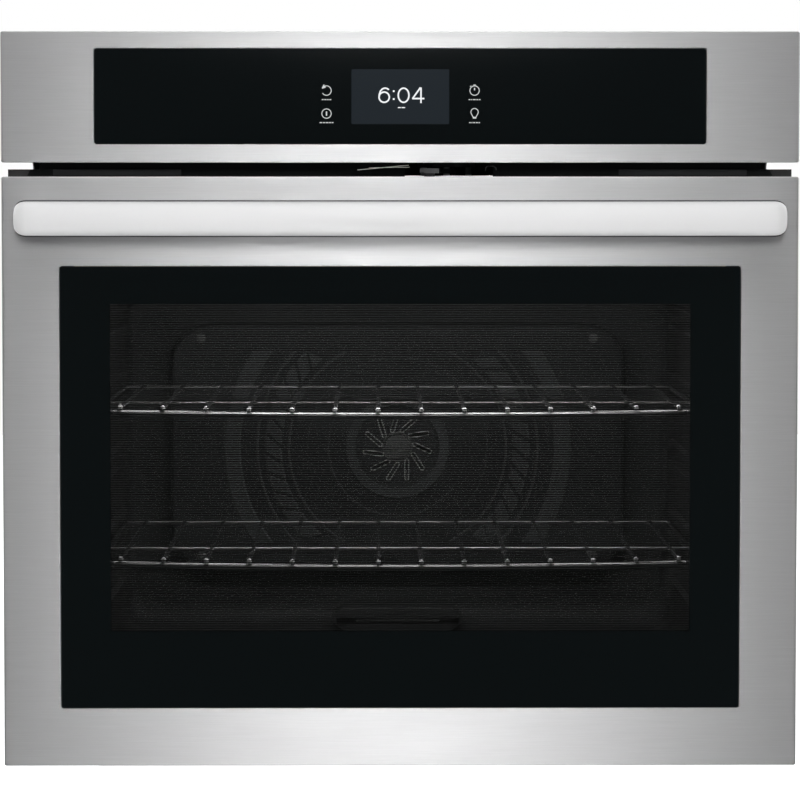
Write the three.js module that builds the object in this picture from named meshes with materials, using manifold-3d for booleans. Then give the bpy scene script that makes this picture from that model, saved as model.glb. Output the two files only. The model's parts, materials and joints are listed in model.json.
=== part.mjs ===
// A built-in electric wall oven for a 30-inch cabinet column: one cavity with a bottom-hinged glass door,
// a touch control panel above it, two sliding racks, a convection fan and a cooling blower.
//
// Units are millimetres. X runs across the front, +Y goes into the cabinet and +Z is up. The pieces are laid out
// with y = 0 on the cabinet's front face and z = 0 on the floor of the cut-out; the whole group is then moved
// back along Y so that the origin is the middle of the oven's bounding box, at its base.
import * as THREE from "three";
import { mergeVertices } from "three/addons/utils/BufferGeometryUtils.js";
import Module from "manifold-3d";

const wasm = await Module();
wasm.setup();

// ---------------------------------------------------------------- driving dimensions
const FIT = 0.3; // clearance kept between pieces that touch
const SHEET = 1.2; // sheet metal of the chassis and the cavity
const THIN = 1; // sheet metal of the door, the panel and the duct

const WIDTH = 762; // door and control panel, the nominal 30 inches
const HALF = WIDTH / 2;
const FACE_Y = -52; // front face of the door and the panel
const DOOR = { bottom: 6, top: 572.5, linerY: -13, seamY: -32 };
const PANEL = { bottom: 586, top: 711, backY: -5 };

const BODY = { half: 356, top: 690, back: 584, frontY: 2 };
const PAN_Z = 8.3; // underside of the base pan's flat, which stands on two pressed runners
const FRAME = { half: 361, front: -4, bottom: 28, top: 579.5, dip: 570, dipHalf: 229, slope: 16 };
const CAVITY = { half: 305, floor: 64, ceiling: 547, back: 508, corner: 25 };
const RIB = 7; // how far a rack ledge stands off the cavity's side wall

const WINDOW = { half: 325.8, bottom: 61.5, top: 486, corner: 3 }; // opening in the steel door front
const SIGHT = { half: 285, bottom: 130, top: 457, corner: 12 }; // opening in the door's inner liner
const TOUCH = { half: 292, bottom: 603.3, top: 694, corner: 3 }; // opening for the control glass
const DISPLAY = { half: 46.6, bottom: 622.6, top: 674.8 };

const HINGE = { x: 328, y: -20, z: 18 }; // the door's pivots
const FAN = { x: 0, z: 270 }; // convection fan axis, along Y
const BLOWER = { y: 195, z: 625.5, radius: 27, gap: 5, half: 150 }; // cooling blower axis, along X
const DUCT = { half: 350, front: 3, back: 150, bottom: 592, top: 616 };
const LATCH = { x: 46, y: 40, reach: 66, turn: 26.3 }; // door lock pivot, along Z
const SWITCH = { x: -338, z: 500 }; // door switch plunger axis, along Y
const LAMP = { x: -215, z: 482 };
const SENSOR = { x: 205, z: 503 };
const GLAND = { x: -260, z: 640, end: 596 };

const BROIL_Z = 530; // upper heating element
const BAKE_Z = 55; // lower heating element, under the cavity floor
const RACK_LEVELS = [115, 190, 265, 340, 415, 490]; // heights of the six rack positions
const RACK = { half: 300.5, front: 45, back: 435, middle: 175, bow: 12, dip: 2.5, rail: 3, wire: 2.1 };
const WIRES = { count: 14, pitch: 42.4 };

const HANDLE = { half: 364, bottom: 516, top: 549, endY: -93, midY: -105, thick: 14, postX: 345 };

const DEG = Math.PI / 180;

// ---------------------------------------------------------------- materials
const metal = (color, roughness) => new THREE.MeshStandardMaterial({ color, roughness, metalness: 1 });
const matt = (color, roughness) => new THREE.MeshStandardMaterial({ color, roughness, metalness: 0 });
const STAINLESS = metal(0xc9cacc, 0.32);
const GALVANISED = metal(0x9ea3a6, 0.5);
const CHROME = metal(0xd8d8da, 0.15);
const ALUMINIUM = metal(0xb4b6b8, 0.4);
const BLACK_GLASS = matt(0x0d1113, 0.06);
const CLEAR_GLASS = matt(0x8f9a98, 0.05);
const BLACK_PAINT = matt(0x141516, 0.45);
const ENAMEL = matt(0x2b2c2e, 0.25);
const ELEMENT = matt(0x3a3b3c, 0.55);
const PLASTIC = matt(0x1b1c1d, 0.5);
const FIBRE = matt(0xd8cf9a, 0.95);
const SEAL = matt(0x8c8c88, 0.9);
const BOARD = matt(0x1f5a35, 0.5);
const CERAMIC = matt(0xe7e2d6, 0.6);

// ---------------------------------------------------------------- solids
function toSolid(geometry) {
  const bare = geometry.index ? geometry.toNonIndexed() : geometry.clone();
  bare.deleteAttribute("normal");
  bare.deleteAttribute("uv");
  const merged = mergeVertices(bare, 1e-4);
  const vertProperties = merged.attributes.position.array;
  const triVerts = new Uint32Array(merged.index.array);
  return new wasm.Manifold(new wasm.Mesh({ numProp: 3, vertProperties, triVerts }));
}

function toGeometry(solid) {
  const mesh = solid.getMesh();
  const positions = new Float32Array(mesh.numVert * 3);
  for (let i = 0; i < mesh.numVert; i++) {
    const start = i * mesh.numProp;
    positions.set(mesh.vertProperties.subarray(start, start + 3), i * 3);
  }
  const geometry = new THREE.BufferGeometry();
  geometry.setAttribute("position", new THREE.BufferAttribute(positions, 3));
  geometry.setIndex(new THREE.BufferAttribute(mesh.triVerts, 1));
  geometry.computeVertexNormals();
  return geometry;
}

const join = (...pieces) => toGeometry(pieces.map(toSolid).reduce((a, b) => a.add(b)));
const cut = (piece, ...tools) => toGeometry(tools.map(toSolid).reduce((a, b) => a.subtract(b), toSolid(piece)));

// A box between two limits on each axis.
function block([x0, x1], [y0, y1], [z0, z1]) {
  const box = new THREE.BoxGeometry(x1 - x0, y1 - y0, z1 - z0);
  return box.translate((x0 + x1) / 2, (y0 + y1) / 2, (z0 + z1) / 2);
}

// A cylinder along "x", "y" or "z", between two limits on that axis; a and b are its centre on the other two.
function rod(axis, radius, [from, to], a, b, sides = 16) {
  const cylinder = new THREE.CylinderGeometry(radius, radius, to - from, sides);
  const middle = (from + to) / 2;
  if (axis === "x") return cylinder.rotateZ(-Math.PI / 2).translate(middle, a, b);
  if (axis === "y") return cylinder.translate(a, middle, b);
  return cylinder.rotateX(Math.PI / 2).translate(a, b, middle);
}

// A shape drawn in X and Z, made solid between two Y limits.
function plateXZ(shape, [yFrom, yTo], curveSegments = 3) {
  const depth = yTo - yFrom;
  const plate = new THREE.ExtrudeGeometry(shape, { depth, bevelEnabled: false, curveSegments });
  return plate.rotateX(Math.PI / 2).translate(0, yTo, 0);
}

// A shape drawn in Y and Z, made solid between two X limits.
function plateYZ(shape, [xFrom, xTo], curveSegments = 3) {
  const depth = xTo - xFrom;
  const plate = new THREE.ExtrudeGeometry(shape, { depth, bevelEnabled: false, curveSegments });
  const turn = new THREE.Matrix4().makeBasis(
    new THREE.Vector3(0, 1, 0),
    new THREE.Vector3(0, 0, 1),
    new THREE.Vector3(1, 0, 0),
  );
  return plate.applyMatrix4(turn).translate(xFrom, 0, 0);
}

// A rectangle with rounded corners, as a Shape or as a Path that can be a hole.
function roundedRect(x0, x1, y0, y1, r, kind = THREE.Shape) {
  const path = new kind();
  path.moveTo(x0 + r, y0);
  path.lineTo(x1 - r, y0);
  path.absarc(x1 - r, y0 + r, r, -Math.PI / 2, 0);
  path.lineTo(x1, y1 - r);
  path.absarc(x1 - r, y1 - r, r, 0, Math.PI / 2);
  path.lineTo(x0 + r, y1);
  path.absarc(x0 + r, y1 - r, r, Math.PI / 2, Math.PI);
  path.lineTo(x0, y0 + r);
  path.absarc(x0 + r, y0 + r, r, Math.PI, 1.5 * Math.PI);
  return path;
}

function outline(points, kind = THREE.Shape) {
  return new kind(points.map(([x, y]) => new THREE.Vector2(x, y)));
}

function roundHole(x, y, radius, sides = 20) {
  const angles = Array.from({ length: sides }, (_, i) => (2 * Math.PI * i) / sides);
  return outline(angles.map((a) => [x + radius * Math.cos(a), y + radius * Math.sin(a)]), THREE.Path);
}

// A slot with rounded ends, of a given length and width, turned by an angle about its middle.
function slotHole(x, y, length, width, angle) {
  const half = (length - width) / 2;
  const points = [];
  for (const end of [0, Math.PI]) {
    for (const step of [-1.5, -0.5, 0.5, 1.5]) {
      const a = angle + end + (step * Math.PI) / 3;
      points.push([
        x + half * Math.cos(angle + end) + (width / 2) * Math.cos(a),
        y + half * Math.sin(angle + end) + (width / 2) * Math.sin(a),
      ]);
    }
  }
  return outline(points, THREE.Path);
}

// A path that is sampled exactly at its own points, so straight runs need no steps of their own.
class PointPath extends THREE.Curve {
  constructor(points) {
    super();
    this.points = points;
  }
  index(u) {
    return Math.round(u * (this.points.length - 1));
  }
  getPoint(u) {
    return this.points[this.index(u)].clone();
  }
  getPointAt(u) {
    return this.getPoint(u);
  }
  getTangentAt(u) {
    const i = this.index(u);
    const before = this.points[Math.max(i - 1, 0)];
    const after = this.points[Math.min(i + 1, this.points.length - 1)];
    return after.clone().sub(before).normalize();
  }
}

// Replaces each inner corner of a polyline by an arc of the given radius.
function rounded(corners, radius, steps = 4) {
  const points = [corners[0]];
  for (let i = 1; i < corners.length - 1; i++) {
    const into = corners[i].clone().sub(corners[i - 1]).normalize();
    const out = corners[i + 1].clone().sub(corners[i]).normalize();
    const turn = into.angleTo(out);
    const back = radius * Math.tan(turn / 2);
    const start = corners[i].clone().addScaledVector(into, -back);
    const inward = out.clone().addScaledVector(into, -into.dot(out)).normalize();
    const centre = start.clone().addScaledVector(inward, radius);
    for (let k = 0; k <= steps; k++) {
      const a = (turn * k) / steps;
      const arm = inward.clone().multiplyScalar(-Math.cos(a)).addScaledVector(into, Math.sin(a));
      points.push(centre.clone().addScaledVector(arm, radius));
    }
  }
  points.push(corners[corners.length - 1]);
  return points;
}

// A round bar along a list of points.
function bar(points, radius, sides = 8) {
  const section = [];
  for (let i = 0; i < sides; i++) {
    const a = (2 * Math.PI * i) / sides;
    section.push([radius * Math.cos(a), radius * Math.sin(a)]);
  }
  const steps = points.length - 1;
  return new THREE.ExtrudeGeometry(outline(section), { steps, extrudePath: new PointPath(points) });
}

const at = (x, y, z) => new THREE.Vector3(x, y, z);

// ---------------------------------------------------------------- the assembly
const oven = new THREE.Group();
const chassis = new THREE.Group();
const door = new THREE.Group();
oven.add(chassis, door);

function add(group, name, geometry, material, place = {}) {
  const mesh = new THREE.Mesh(geometry, material);
  mesh.name = name;
  mesh.position.set(place.x ?? 0, place.y ?? 0, place.z ?? 0);
  mesh.rotation.z = place.turn ?? 0;
  mesh.scale.x = place.mirror ?? 1;
  group.add(mesh);
}

// The same piece on both sides: modelled on the right, mirrored for the left.
function addPair(group, name, geometry, material) {
  add(group, name + "_right", geometry, material);
  add(group, name + "_left", geometry, material, { mirror: -1 });
}

// ---------------------------------------------------------------- outer chassis
function basePan() {
  const half = BODY.half - SHEET - FIT;
  const z1 = PAN_Z + SHEET;
  const runner = { inner: 300, outer: 340 };
  const right = [
    [runner.inner, PAN_Z],
    [runner.inner, 0],
    [runner.outer, 0],
    [runner.outer, PAN_Z],
    [half, PAN_Z],
    [half, z1],
    [runner.outer - SHEET, z1],
    [runner.outer - SHEET, SHEET],
    [runner.inner + SHEET, SHEET],
    [runner.inner + SHEET, z1],
  ];
  const left = right.map(([x, z]) => [-x, z]).reverse();
  return plateXZ(outline([...right, ...left]), [BODY.frontY + 2, BODY.back - 2]);
}

function sidePanel() {
  const panel = outline([
    [BODY.frontY, 2],
    [BODY.back, 2],
    [BODY.back, BODY.top - SHEET - FIT],
    [PANEL.backY + FIT, BODY.top - SHEET - FIT],
    [PANEL.backY + FIT, PANEL.bottom + 4],
    [BODY.frontY, PANEL.bottom - 4],
  ]);
  for (let i = 0; i < 6; i++) panel.holes.push(slotHole(300 + 34 * i, 640, 40, 6, Math.PI / 2));
  return plateYZ(panel, [BODY.half - SHEET, BODY.half]);
}

function topCover() {
  const slots = [];
  for (const y of [430, 500]) {
    for (let i = 0; i < 10; i++) slots.push(block([-104 + 22 * i, -94 + 22 * i], [y, y + 45], [680, 700]));
  }
  const front = PANEL.backY + FIT;
  const sheet = block([-BODY.half, BODY.half], [front, BODY.back], [BODY.top - SHEET, BODY.top]);
  return cut(sheet, ...slots);
}

function rearPanel() {
  const half = BODY.half - SHEET - FIT;
  const panel = roundedRect(-half, half, PAN_Z + SHEET + FIT, BODY.top - SHEET - FIT, 2);
  panel.holes.push(roundHole(GLAND.x, GLAND.z, 11.5));
  for (let i = 0; i < 8; i++) panel.holes.push(slotHole(-84 + 24 * i, 640, 46, 6, Math.PI / 2));
  return plateXZ(panel, [BODY.back - SHEET, BODY.back]);
}

function frontFrame() {
  const { bottom, top, dip, dipHalf, slope } = FRAME;
  const right = [
    [FRAME.half, bottom],
    [FRAME.half, top - 6],
    [FRAME.half - 3, top],
    [dipHalf, top],
    [dipHalf - slope, dip],
  ];
  const left = right.map(([x, z]) => [-x, z]).reverse();
  const plate = outline([...right, ...left]);
  const { half, floor, ceiling, corner } = CAVITY;
  plate.holes.push(roundedRect(-half, half, floor, ceiling, corner, THREE.Path));
  plate.holes.push(roundHole(SWITCH.x, SWITCH.z, 4));
  const back = FRAME.front + SHEET;
  const flange = block([BODY.half - SHEET, BODY.half], [back - 0.5, BODY.frontY - FIT], [bottom + 1, top - 2]);
  const mirrored = block([-BODY.half, SHEET - BODY.half], [back - 0.5, BODY.frontY - FIT], [bottom + 1, top - 2]);
  return join(plateXZ(plate, [FRAME.front, back]), flange, mirrored);
}

// The vertical strip beside the front frame that covers the edge of the cut-out and takes the cabinet screws.
function sideTrim() {
  const inner = BODY.half + FIT;
  const strip = block([inner, HALF - 1], [-SHEET, 0], [DOOR.bottom, FRAME.top]);
  const leg = block([inner, inner + SHEET], [-0.5, 20], [DOOR.bottom, FRAME.top]);
  const screws = [120, 290, 460].map((z) => rod("y", 2.5, [-5, 5], HALF - 11.5, z, 12));
  return cut(join(strip, leg), ...screws);
}

// ---------------------------------------------------------------- cavity
// A side wall with a pair of ribs at each level: the rack lies on the lower one and the upper one stops it tipping.
function cavityWall() {
  const inside = CAVITY.half;
  const profile = [
    [inside + SHEET, CAVITY.ceiling + SHEET],
    [inside + SHEET, CAVITY.floor - SHEET],
    [inside, CAVITY.floor - SHEET],
  ];
  const rib = (z0, z1) => {
    profile.push([inside, z0], [inside - RIB, z0 + 2], [inside - RIB, z1 - 1], [inside, z1]);
  };
  for (const z of RACK_LEVELS) {
    rib(z - RACK.rail - FIT - 10, z - RACK.rail - FIT);
    rib(z + 10, z + 18);
  }
  profile.push([inside, CAVITY.ceiling + SHEET]);
  return plateXZ(outline(profile.reverse()), [FRAME.front + SHEET + FIT, CAVITY.back - FIT]);
}

function cavitySheet(z0, z1, ...holes) {
  const half = CAVITY.half - FIT;
  const sheet = block([-half, half], [FRAME.front + SHEET + FIT, CAVITY.back - FIT], [z0, z1]);
  return holes.length ? cut(sheet, ...holes) : sheet;
}

function cavityBack() {
  const half = CAVITY.half + SHEET;
  const { back, floor, ceiling } = CAVITY;
  const sheet = block([-half, half], [back, back + SHEET], [floor - SHEET, ceiling + SHEET]);
  const hole = (radius, x, z) => rod("y", radius, [back - 5, back + 5], x, z, 20);
  const forHeater = [-35, 35].map((x) => hole(5, x, BROIL_Z));
  return cut(sheet, hole(8, FAN.x, FAN.z), hole(24, LAMP.x, LAMP.z), hole(4, SENSOR.x, SENSOR.z), ...forHeater);
}

const INSULATION = { half: 350, bottom: 28, top: 590, innerHalf: 308, innerBottom: 43.5, innerTop: 551 };

function insulationWrap() {
  const { half, bottom, top, innerHalf, innerBottom, innerTop } = INSULATION;
  const wrap = roundedRect(-half, half, bottom, top, 20);
  wrap.holes.push(roundedRect(-innerHalf, innerHalf, innerBottom, innerTop, 4, THREE.Path));
  const flue = rod("z", 17, [540, 600], 0, 120);
  const latchBay = block([0, 95], [0, 100], [568, 600]);
  const switchBay = block([-351, -325], [0, 32], [485, 515]);
  return cut(plateXZ(wrap, [6, 505]), flue, latchBay, switchBay);
}

function insulationBack() {
  const { innerHalf, top } = INSULATION;
  const blanket = roundedRect(-innerHalf, innerHalf, 66, top, 15);
  blanket.holes.push(roundHole(FAN.x, FAN.z, 50));
  blanket.holes.push(roundHole(LAMP.x, LAMP.z, 33));
  blanket.holes.push(roundHole(SENSOR.x, SENSOR.z, 6));
  for (const x of [-35, 35]) blanket.holes.push(roundHole(x, BROIL_Z, 7));
  return plateXZ(blanket, [CAVITY.back + SHEET + FIT, 545]);
}

function doorGasket() {
  const ring = (grow) => [-316 - grow, 316 + grow, 53 - grow, 558 + grow, 27 + grow];
  const seal = roundedRect(...ring(4.1));
  seal.holes.push(roundedRect(...ring(-4.1), THREE.Path));
  return plateXZ(seal, [DOOR.linerY + FIT, FRAME.front - FIT], 3);
}

// ---------------------------------------------------------------- heating and lighting
// A tubular heater in the XY plane: runs from front to back, joined by half-circle bends, with both ends leaving
// at the back on either side of the middle.
function heater({ z, runs, pitch, front, back, tail, tailX }) {
  const xs = Array.from({ length: runs }, (_, i) => (i - (runs - 1) / 2) * pitch);
  const corners = [at(-tailX, tail, z), at(-tailX, back + 20, z), at(xs[0], back + 20, z)];
  xs.forEach((x, i) => {
    const near = i % 2 === 0 ? front : back;
    corners.push(at(x, near, z));
    if (i < runs - 1) corners.push(at(xs[i + 1], near, z));
  });
  corners.push(at(xs[runs - 1], back + 20, z), at(tailX, back + 20, z), at(tailX, tail, z));
  return bar(rounded(corners, 12, 3), 3.2, 6);
}

// The cover over the convection fan: a shallow pressed tray with a swirl of slots in front of the fan and a row
// of slanted outlets on an arc at each side.
function fanBaffle() {
  const tray = { x: 253, z: 138, r: 45, front: 478, back: CAVITY.back - FIT };
  const box = (shrink, kind) => {
    const { x, z, r } = tray;
    return roundedRect(shrink - x, x - shrink, FAN.z - z + shrink, FAN.z + z - shrink, r - shrink, kind);
  };
  const face = box(0);
  const swirl = { count: 11, radius: 28, length: 22, width: 5, lean: -27 * DEG };
  for (let i = 0; i < swirl.count; i++) {
    const a = Math.PI / 2 + (2 * Math.PI * i) / swirl.count;
    const x = FAN.x + swirl.radius * Math.cos(a);
    const z = FAN.z + swirl.radius * Math.sin(a);
    face.holes.push(slotHole(x, z, swirl.length, swirl.width, a + swirl.lean));
  }
  for (const side of [0, Math.PI]) {
    for (let i = -4; i <= 4; i++) {
      const a = side + i * 10 * DEG;
      face.holes.push(slotHole(139 * Math.cos(a), FAN.z + 139 * Math.sin(a), 20, 6, a + 45 * DEG));
    }
  }
  const rim = box(0);
  rim.holes.push(box(THIN, THREE.Path));
  return join(plateXZ(face, [tray.front, tray.front + THIN]), plateXZ(rim, [tray.front + THIN / 2, tray.back]));
}

function convectionMotor() {
  const can = rod("y", 42, [524, 562], FAN.x, FAN.z, 24);
  const neck = rod("y", 14, [CAVITY.back + SHEET + FIT, 530], FAN.x, FAN.z);
  const bracket = block([-75, 75], [546, 549], [FAN.z - 8, FAN.z + 8]);
  const bore = rod("y", 4.6, [500, 548], FAN.x, FAN.z, 12);
  return cut(join(can, neck, bracket), bore);
}

function convectionFan() {
  const pieces = [rod("y", 62, [500, 501.5], 0, 0, 24), rod("y", 12, [486, 503], 0, 0)];
  for (let i = 0; i < 10; i++) {
    const blade = block([18, 62], [486, 500.5], [-0.8, 0.8]);
    pieces.push(blade.rotateY((2 * Math.PI * i) / 10));
  }
  pieces.push(rod("y", 4, [502, 545], 0, 0, 12));
  return join(...pieces);
}

function lampHousing() {
  const cup = rod("y", 30, [CAVITY.back + SHEET + FIT, 552], LAMP.x, LAMP.z);
  const hollow = rod("y", 27, [500, 546], LAMP.x, LAMP.z);
  return cut(cup, hollow);
}

function lampBulb() {
  const base = rod("y", 8, [528, 545.5], LAMP.x, LAMP.z, 12);
  const bulb = rod("y", 6, [512, 528.5], LAMP.x, LAMP.z, 12);
  return join(base, bulb);
}

// A domed glass cover with a flat back, turned about its own axis.
function lampLens() {
  const dome = [[0, 0], [29, 0], [29, 3], [26, 6.5], [20, 9], [11, 10.6], [0, 11]];
  const profile = dome.map(([r, h]) => new THREE.Vector2(r, h));
  const lens = new THREE.LatheGeometry(profile, 20).rotateX(Math.PI);
  return lens.translate(LAMP.x, CAVITY.back - FIT, LAMP.z);
}

function temperatureSensor() {
  const probe = rod("y", 2.5, [420, 540], SENSOR.x, SENSOR.z, 10);
  const y1 = CAVITY.back - FIT;
  const flange = block([SENSOR.x - 16, SENSOR.x + 16], [y1 - SHEET, y1], [SENSOR.z - 7, SENSOR.z + 7]);
  return join(probe, flange);
}

// ---------------------------------------------------------------- door switch and door lock
function switchBody() {
  const body = block([SWITCH.x - 9, SWITCH.x + 9], [-2.2, 26], [SWITCH.z - 12, SWITCH.z + 12]);
  return cut(body, rod("y", 3.2, [-10, 22], SWITCH.x, SWITCH.z, 12));
}

function switchPlunger() {
  return rod("y", 2.6, [DOOR.linerY + 0.4, 14], SWITCH.x, SWITCH.z, 12);
}

function latchBase() {
  const plate = block([5, 90], [1, 78], [572, 573.5]);
  const pin = rod("z", 3, [573, 581.5], LATCH.x, LATCH.y, 12);
  const posts = [-22, 22].map((x) => rod("z", 3, [573, 581.7], LATCH.x + x, LATCH.y + 27, 8));
  return join(plate, pin, ...posts);
}

function latchMotor() {
  const can = rod("z", 23, [582, 591.5], LATCH.x, LATCH.y, 20);
  const gearbox = block([LATCH.x - 28, LATCH.x + 28], [LATCH.y + 8, LATCH.y + 34], [582, 591]);
  return join(can, gearbox);
}

// The lock's lever in its own frame, with its pivot at the origin and its hook reaching along -Y.
function latchHook() {
  const reach = LATCH.reach;
  const lever = block([-7, 7], [-reach, 6], [575.5, 578]);
  const boss = rod("z", 8, [575.5, 580.5], 0, 0);
  const tip = block([-5, 5], [-reach, -reach + 3], [560, 577]);
  return cut(join(lever, boss, tip), rod("z", 3.3, [570, 590], 0, 0, 12));
}

// ---------------------------------------------------------------- cooling air
// A flat duct that carries the blower's air forward to the gap above the door. Its skirt closes the space between
// the duct and the front frame, and its back closes in to the width of the blower.
function airDuct() {
  const { half, front, back, bottom, top } = DUCT;
  const throat = BLOWER.half + 8;
  const box = block([-half, half], [front, back], [bottom, top]);
  const way = block([THIN - half, half - THIN], [-10, back - THIN], [bottom + THIN, top - THIN]);
  const inlet = block([-throat, throat], [back - 5, back + 5], [bottom + THIN, top - THIN]);
  const skirt = block([-half, half], [front, front + THIN], [571, bottom + 0.5]);
  const latchBay = block([0, 95], [0, 10], [560, bottom]);
  const flue = rod("z", 14, [bottom - 10, bottom + 8], 0, 120);
  return cut(join(cut(box, way, inlet), skirt), latchBay, flue);
}

function flueTube() {
  const tube = rod("z", 15, [CAVITY.ceiling + SHEET + FIT, 592 - FIT], 0, 120);
  return cut(tube, rod("z", 13.5, [500, 600], 0, 120));
}

// The blower's scroll: one sheet from the duct's floor round the back of the rotor and one from the duct's roof
// round its front, held by an end plate at each side. Air comes in between them at the top.
function blowerHousing() {
  const { y, z, radius, gap, half } = BLOWER;
  const inner = radius + gap;
  const outer = inner + SHEET;
  const mouth = 152;
  const back = new THREE.Shape();
  back.moveTo(mouth, z - outer);
  back.lineTo(y, z - outer);
  back.absarc(y, z, outer, -90 * DEG, 30 * DEG);
  back.absarc(y, z, inner, 30 * DEG, -90 * DEG, true);
  back.lineTo(mouth, z - inner);
  const front = new THREE.Shape();
  const lip = (level, r) => Math.PI + Math.asin((z - level) / r); // where an arc comes down to a level
  front.absarc(y, z, outer, 120 * DEG, lip(DUCT.top, outer));
  front.lineTo(mouth, DUCT.top);
  front.lineTo(mouth, DUCT.top - SHEET);
  front.absarc(y, z, inner, lip(DUCT.top - SHEET, inner), 120 * DEG, true);
  const sheets = [back, front].map((shape) => plateYZ(shape, [-half - 8, half + 8], 3));
  const plates = [-half - 8, half + 8 - SHEET].map((x) => {
    const plate = rod("x", inner + 0.5, [x, x + SHEET], y, z, 24);
    return cut(plate, rod("x", 6, [x - 5, x + 5], y, z, 12));
  });
  return join(...sheets, ...plates);
}

function blowerMotor() {
  const { y, z, half } = BLOWER;
  const can = rod("x", 29, [half + 8 + FIT, half + 58], y, z, 20);
  const foot = block([half + 14, half + 50], [y - 22, y + 22], [592, 604]);
  return cut(join(can, foot), rod("x", 4.6, [half, half + 40], y, z, 12));
}

// A long squirrel-cage rotor with thin blades between end discs.
function blowerWheel() {
  const { radius, half } = BLOWER;
  const pieces = [-half, -1, half - 2].map((x) => rod("x", radius, [x, x + 2], 0, 0, 20));
  const blades = 12;
  for (let i = 0; i < blades; i++) {
    const blade = block([-half + 1, half - 1], [-0.6, 0.6], [radius - 7, radius - 1]);
    pieces.push(blade.rotateX((2 * Math.PI * i) / blades));
  }
  pieces.push(rod("x", 4, [-half - 9, half + 36], 0, 0, 12));
  return join(...pieces);
}

// ---------------------------------------------------------------- control panel and electronics
function panelFrame() {
  const { bottom, top, backY } = PANEL;
  const shell = block([-HALF, HALF], [FACE_Y, backY], [bottom, top]);
  const inside = block([THIN - HALF, HALF - THIN], [FACE_Y + THIN, backY - THIN], [bottom + THIN, top - THIN]);
  const opening = plateXZ(roundedRect(-TOUCH.half, TOUCH.half, TOUCH.bottom, TOUCH.top, TOUCH.corner), [-60, -45]);
  const wiring = block([-200, 200], [-20, 10], [620, 665]);
  return cut(shell, inside, opening, wiring);
}

function panelGlass() {
  const { half, bottom, top, corner } = TOUCH;
  const shape = roundedRect(FIT - half, half - FIT, bottom + FIT, top - FIT, corner - FIT);
  return plateXZ(shape, [FACE_Y - 0.4, FACE_Y + 3]);
}

function circuitBoard([x0, x1], [y0, y1], [z0, z1], parts) {
  return join(block([x0, x1], [y0, y1], [z0, z1]), ...parts);
}

function controlBoard() {
  const parts = [-120, -40, 60, 120].map((x) => block([x - 14, x + 14], [-38.5, -28], [630, 650]));
  return circuitBoard([-150, 150], [-40, -38], [612, 686], parts);
}

function powerBoard() {
  const relays = [0, 1, 2, 3, 4].map((i) => block([-325 + 26 * i, -305 + 26 * i], [310, 340], [605, 627]));
  const transformer = block([-320, -270], [380, 430], [605, 645]);
  return circuitBoard([-335, -190], [300, 450], [604, 606], [...relays, transformer]);
}

function terminalBlock() {
  const body = block([-300, -220], [500, 530], [600, 622]);
  const slots = [0, 1, 2].map((i) => block([-294 + 26 * i, -278 + 26 * i], [495, 515], [612, 630]));
  return cut(body, ...slots);
}

// The cable entry: a hollow threaded gland with a flange each side of the rear panel.
function conduitGland() {
  const { x, z, end } = GLAND;
  const neck = rod("y", 11, [566, end], x, z, 20);
  const outer = rod("y", 17, [BODY.back + FIT, BODY.back + 5], x, z, 6);
  const nut = rod("y", 16, [574, BODY.back - SHEET - FIT], x, z, 6);
  return cut(join(neck, outer, nut), rod("y", 8, [550, 610], x, z, 16));
}

// ---------------------------------------------------------------- racks
// One wire rack, drawn about its own level at z = 0: a rail round the outside, bowed forward at the front, a cross
// rail, and wires from front to back whose cut ends show above the front rail.
function rack() {
  const { half, front, back, middle, bow, dip, rail, wire } = RACK;
  const corner = 18;
  const span = half - corner;
  const shape = (x) => 1 - (x / span) ** 2;
  const rails = [at(-half, back, 0), ...rounded([at(-half, back, 0), at(-half, front, 0), at(0, front, 0)], corner).slice(1, -1)];
  for (let i = 1; i < 12; i++) {
    const x = -span + (2 * span * i) / 12;
    rails.push(at(x, front - bow * shape(x), -dip * shape(x)));
  }
  rails.push(...rounded([at(0, front, 0), at(half, front, 0), at(half, back, 0)], corner).slice(1));
  const pieces = [bar(rails, rail, 8), rod("x", rail, [-half, half], back, 0, 8), rod("x", 2.6, [-half, half], middle, 0, 8)];
  for (let i = 0; i < WIRES.count; i++) {
    const x = (i - (WIRES.count - 1) / 2) * WIRES.pitch;
    const high = rail + wire - 0.6;
    const tip = at(x, front - bow * shape(x) - 2, high - dip * shape(x));
    pieces.push(bar([tip, at(x, middle - 40, high), at(x, back + 2, high)], wire, 6));
  }
  return join(...pieces);
}

// ---------------------------------------------------------------- door
// The steel front: a shallow tray with the window cut out of it.
function doorSkin() {
  const shell = block([-HALF, HALF], [FACE_Y, DOOR.seamY], [DOOR.bottom, DOOR.top]);
  const inside = block([THIN - HALF, HALF - THIN], [FACE_Y + THIN, 0], [DOOR.bottom + THIN, DOOR.top - THIN]);
  const { half, bottom, top, corner } = WINDOW;
  const opening = plateXZ(roundedRect(-half, half, bottom, top, corner), [-60, -45]);
  return cut(shell, inside, opening);
}

function doorOuterGlass() {
  const { half, bottom, top, corner } = WINDOW;
  const shape = roundedRect(0.5 - half, half - 0.5, bottom + 0.5, top - 0.5, corner - 0.5);
  return plateXZ(shape, [FACE_Y - 0.4, FACE_Y + 4]);
}

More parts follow.
